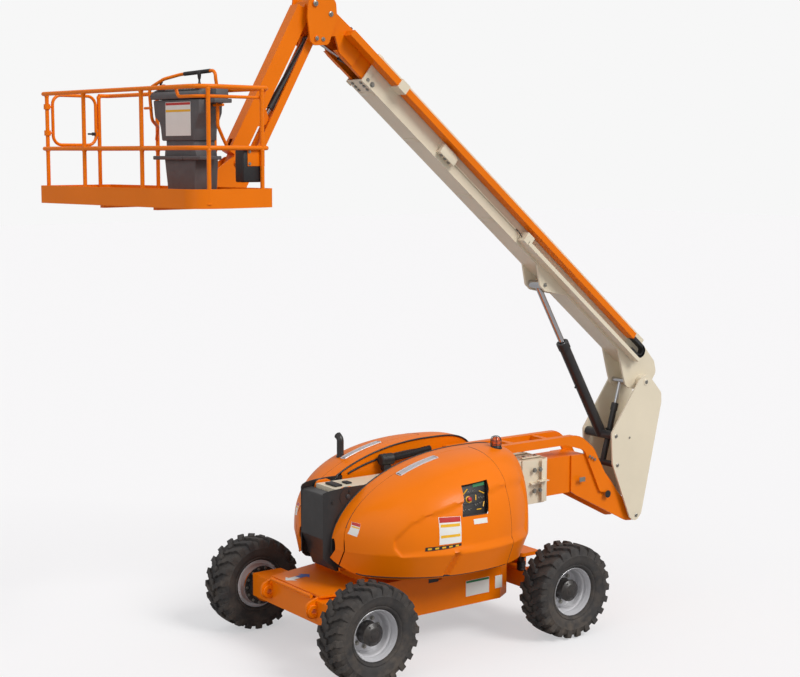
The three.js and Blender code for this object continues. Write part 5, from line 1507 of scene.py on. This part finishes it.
def platform_gate():
    """The gate in its end rail, with its hinge sleeves and latch."""
    low, high, left, right = 541, 1004, X_OUT + 120, X_IN - 149
    gate = Form()
    gate.tube(decked([(left, Y_END, 760), (left, Y_END, high, 90), (right, Y_END, high, 90),
                      (right, Y_END, low, 90), (left, Y_END, low, 90), (left, Y_END, 760)]), 0.015, 18)
    for z in (low + 110, high - 110):
        gate.lathe(deck(HINGE_X, Y_END, z - 25), (0, 0, 1), [(0.025, 0), (0.031, 0.002), (0.031, 0.048),
                                                             (0.025, 0.05), (0.025, 0)], 24)
        gate.tube([deck(X_OUT + 89, Y_END, z), deck(left, Y_END, z)], 0.009, 12)
    gate.block(deck(right - 6, Y_END - 5, 600), deck(right + 24, Y_END + 5, 690), 0.003)
    piece("platform_gate_frame", gate, ORANGE, "gate", angle=50, replaces=["platform_gate"])
    catch = Form()
    catch.block(deck(right - 46, Y_END - 16, 630), deck(right - 8, Y_END + 12, 662), 0.006)
    catch.tube([deck(right - 40, Y_END - 6, 646), deck(right - 95, Y_END - 10, 646)], 0.009, 12)
    piece("platform_gate_latch", catch, DARK, "gate")
    bolts("platform_gate_bolts", [(deck(right + 8, Y_END - 6, z), (0, -1, 0)) for z in (614, 676)], 0.014,
          0.006, ZINC, "gate")


platform_gate()


# ---------------------------------------------------------------- platform console

ASIDE = -205  # the console stands nearer the machine's right hand end than the platform's middle
SIDE_AXIS = deck(0, 1000, 0) - deck(0, 0, 0)
FRONT_AXIS = deck(1000, 0, 0) - deck(0, 0, 0)


def upright_prism(form, outline, near, far, round_by, aside=ASIDE):
    """A (y, z) outline drawn across the platform."""
    return form.prism([deck(0, y + aside, z) for y, z in outline], FRONT_AXIS, near * MM, far * MM,
                      round_by)


def console_body():
    """The console's stand, trunk, hood and shelves."""
    console = Form()
    upright_prism(console, [(-310, 572), (160, 572), (176, 680), (196, 740), (262, 782), (282, 932),
                            (-402, 932), (-394, 810), (-355, 740), (-322, 680)], -458, -200, 0.012)
    upright_prism(console, [(-300, 34.5), (70, 34.5), (130, 408), (-330, 408)], -452, -200, 0.01)
    upright_prism(console, [(-326, 430), (146, 430), (136, 500), (116, 520), (116, 580), (-290, 580),
                            (-290, 520), (-310, 500)], -440, -206, 0.008)
    console.prism([deck(x, ASIDE, z) for x, z in ((-476, 938), (-200, 938), (-200, 1044), (-250, 1066),
                                                  (-340, 1056), (-462, 1002), (-478, 980))], SIDE_AXIS,
                  -0.42, 0.3, 0.012)
    piece("console_body", console, GREY, "platform", replaces=["platform_console"])
    shelf = Form()
    upright_prism(shelf, [(-430, 404), (-186, 404), (-186, 438), (-430, 438)], -484, -240, 0.007)
    upright_prism(shelf, [(-178, 404), (262, 404), (262, 438), (-178, 438)], -484, -240, 0.007)
    upright_prism(shelf, [(-545, 898), (-410, 898), (-410, 934), (-545, 934)], -400, -210, 0.006)
    upright_prism(shelf, [(-520, 934), (-415, 934), (-415, 1020), (-512, 1020)], -360, -224, 0.008)
    piece("console_shelves", shelf, GREY, "platform")


console_body()


def on_top(across, down, out=0.0):
    """A point on the console's sloping top: across it, and down its slope."""
    a, b = Vector((-458, ASIDE, 1006)), Vector((-346, ASIDE, 1056))
    slope = (b - a).normalized()
    p = a + slope * down + Vector((0, across, 0)) + Vector((-slope.z, 0, slope.x)) * out
    return deck(*p)


def console_controls():
    """The panel on the console's slope, with its switches, stop button and sticks."""
    panel = Form()
    panel.prism([on_top(-380, 4), on_top(270, 4), on_top(270, 112), on_top(-380, 112)],
                on_top(0, 0, 1) - on_top(0, 0, 0), 0.0, 0.003)
    piece("console_top_panel", panel, DARK, "platform")
    out = on_top(0, 0, 1) - on_top(0, 0, 0)
    small = Form()
    for down in (32, 74):
        for k in range(10):
            p = on_top(-300 + 46 * k, down, 3)
            small.lathe(p, out, [(0, 0), (0.012, 0), (0.012, 0.003), (0.006, 0.005), (0.005, 0.014),
                                 (0, 0.014)], 14)
            small.tube([p + out * 12, p + out * 30 + (deck(0, 0, 0) - deck(9, 0, 0))], 0.0034, 8)
    piece("console_switches", small, ZINC, "platform")
    knob = Form().lathe(on_top(190, 58, 2), (0, 0, 1), [(0, 0), (0.014, 0), (0.014, 0.018), (0.024, 0.022),
                                                        (0.024, 0.034), (0.016, 0.042), (0, 0.044)], 28)
    piece("console_stop_button", knob, RED, "platform")
    sticks = Form()
    for across in (-335, 235):
        foot = on_top(across, 60, 1)
        sticks.lathe(foot, (0, 0, 1), [(0, 0), (0.036, 0), (0.034, 0.01), (0.026, 0.022), (0.014, 0.034),
                                       (0.009, 0.05), (0.009, 0.07), (0.014, 0.08), (0.017, 0.11),
                                       (0.015, 0.135), (0.008, 0.142),
                                       (0, 0.142)] if across < 0 else [(0, 0), (0.03, 0), (0.026, 0.014),
                                                                       (0.012, 0.026), (0.01, 0.05),
                                                                       (0.02, 0.056), (0.02, 0.07),
                                                                       (0, 0.074)], 28)
    piece("console_sticks", sticks, HOSE, "platform")


console_controls()


def front_plate(name, y0, y1, z0, z1, material, lift):
    """A blank plate on the console's front."""
    plate = Form()
    plate.prism([deck(-458 - lift, y + ASIDE, z) for y, z in ((y0, z0), (y1, z0), (y1, z1), (y0, z1))],
                FRONT_AXIS, 0.0, 0.0016)
    return piece(name, plate, material, "platform")


front_plate("console_plate", -275, 93, 615, 910, WHITE, 1.0)
front_plate("console_plate_head", -271, 89, 884, 906, RED, 1.8)
front_plate("console_plate_band", -271, 89, 824, 844, YELLOW, 1.8)


def side_box():
    """A dark box inside the right hand end, and the bracket it hangs on."""
    box = Form()
    upright_prism(box, [(-1186, 215), (-1066, 215), (-1066, 492), (-1186, 492)], -440, -222, 0.014, 0)
    piece("platform_side_box", box, DARK, "platform")
    plate = Form()
    upright_prism(plate, [(-1192, 352), (-1187, 352), (-1187, 500), (-1192, 500)], -400, -214, 0.0015, 0)
    upright_prism(plate, [(-1192, 494), (-1060, 494), (-1060, 499), (-1192, 499)], -400, -214, 0.0015, 0)
    piece("platform_side_plate", plate, ORANGE, "platform")
    bolts("platform_side_bolts", [(deck(x, -1193, z), deck(0, -1, 0) - deck(0, 0, 0)) for x in (-380, -234)
                                  for z in (372, 474)], 0.018, 0.008, ZINC, "platform")


side_box()


def platform_leads():
    """Five leads from the console down behind it."""
    leads = Form()
    for k in range(5):
        z = 250 + 26 * k
        leads.tube(decked([(-205, -230 - 12 * k, z + 90), (-150, -215 - 12 * k, z + 60, 40),
                           (-118, -150 - 10 * k, z - 10, 50), (-126, -118 - 5 * k, z - 90, 30),
                           (-128, -116 - 5 * k, z - 130)]), 0.0095, 12)
    piece("platform_leads", leads, HOSE, "platform")


platform_leads()


# ---------------------------------------------------------------- floor


def lay_floor():
    """A pale floor that takes the shadow; it glows for the camera alone, up to the paper's level."""
    half = 90
    mesh = bpy.data.meshes.new("floor")
    mesh.from_pydata([(-half, -half, 0), (half, -half, 0), (half, half, 0), (-half, half, 0)], [],
                     [(0, 1, 2, 3)])
    floor = bpy.data.objects.new("floor", mesh)
    bpy.context.scene.collection.objects.link(floor)
    paint = bpy.data.materials.new("pale_floor")
    paint.use_nodes = True
    tree = paint.node_tree
    tree.nodes.clear()
    new, join = tree.nodes.new, tree.links.new
    matt = new("ShaderNodeBsdfDiffuse")
    matt.inputs["Color"].default_value = (0.43, 0.425, 0.43, 1)
    seen = new("ShaderNodeLightPath")
    level = new("ShaderNodeMath")
    level.operation = "MULTIPLY"
    level.inputs[1].default_value = FLOOR_GLOW
    glow = new("ShaderNodeEmission")
    glow.inputs["Color"].default_value = (0.985, 0.985, 1, 1)
    both = new("ShaderNodeAddShader")
    floor_out = new("ShaderNodeOutputMaterial")
    join(seen.outputs["Is Camera Ray"], level.inputs[0])
    join(level.outputs[0], glow.inputs["Strength"])
    join(matt.outputs[0], both.inputs[0])
    join(glow.outputs[0], both.inputs[1])
    join(both.outputs[0], floor_out.inputs["Surface"])
    mesh.materials.append(paint)


lay_floor()
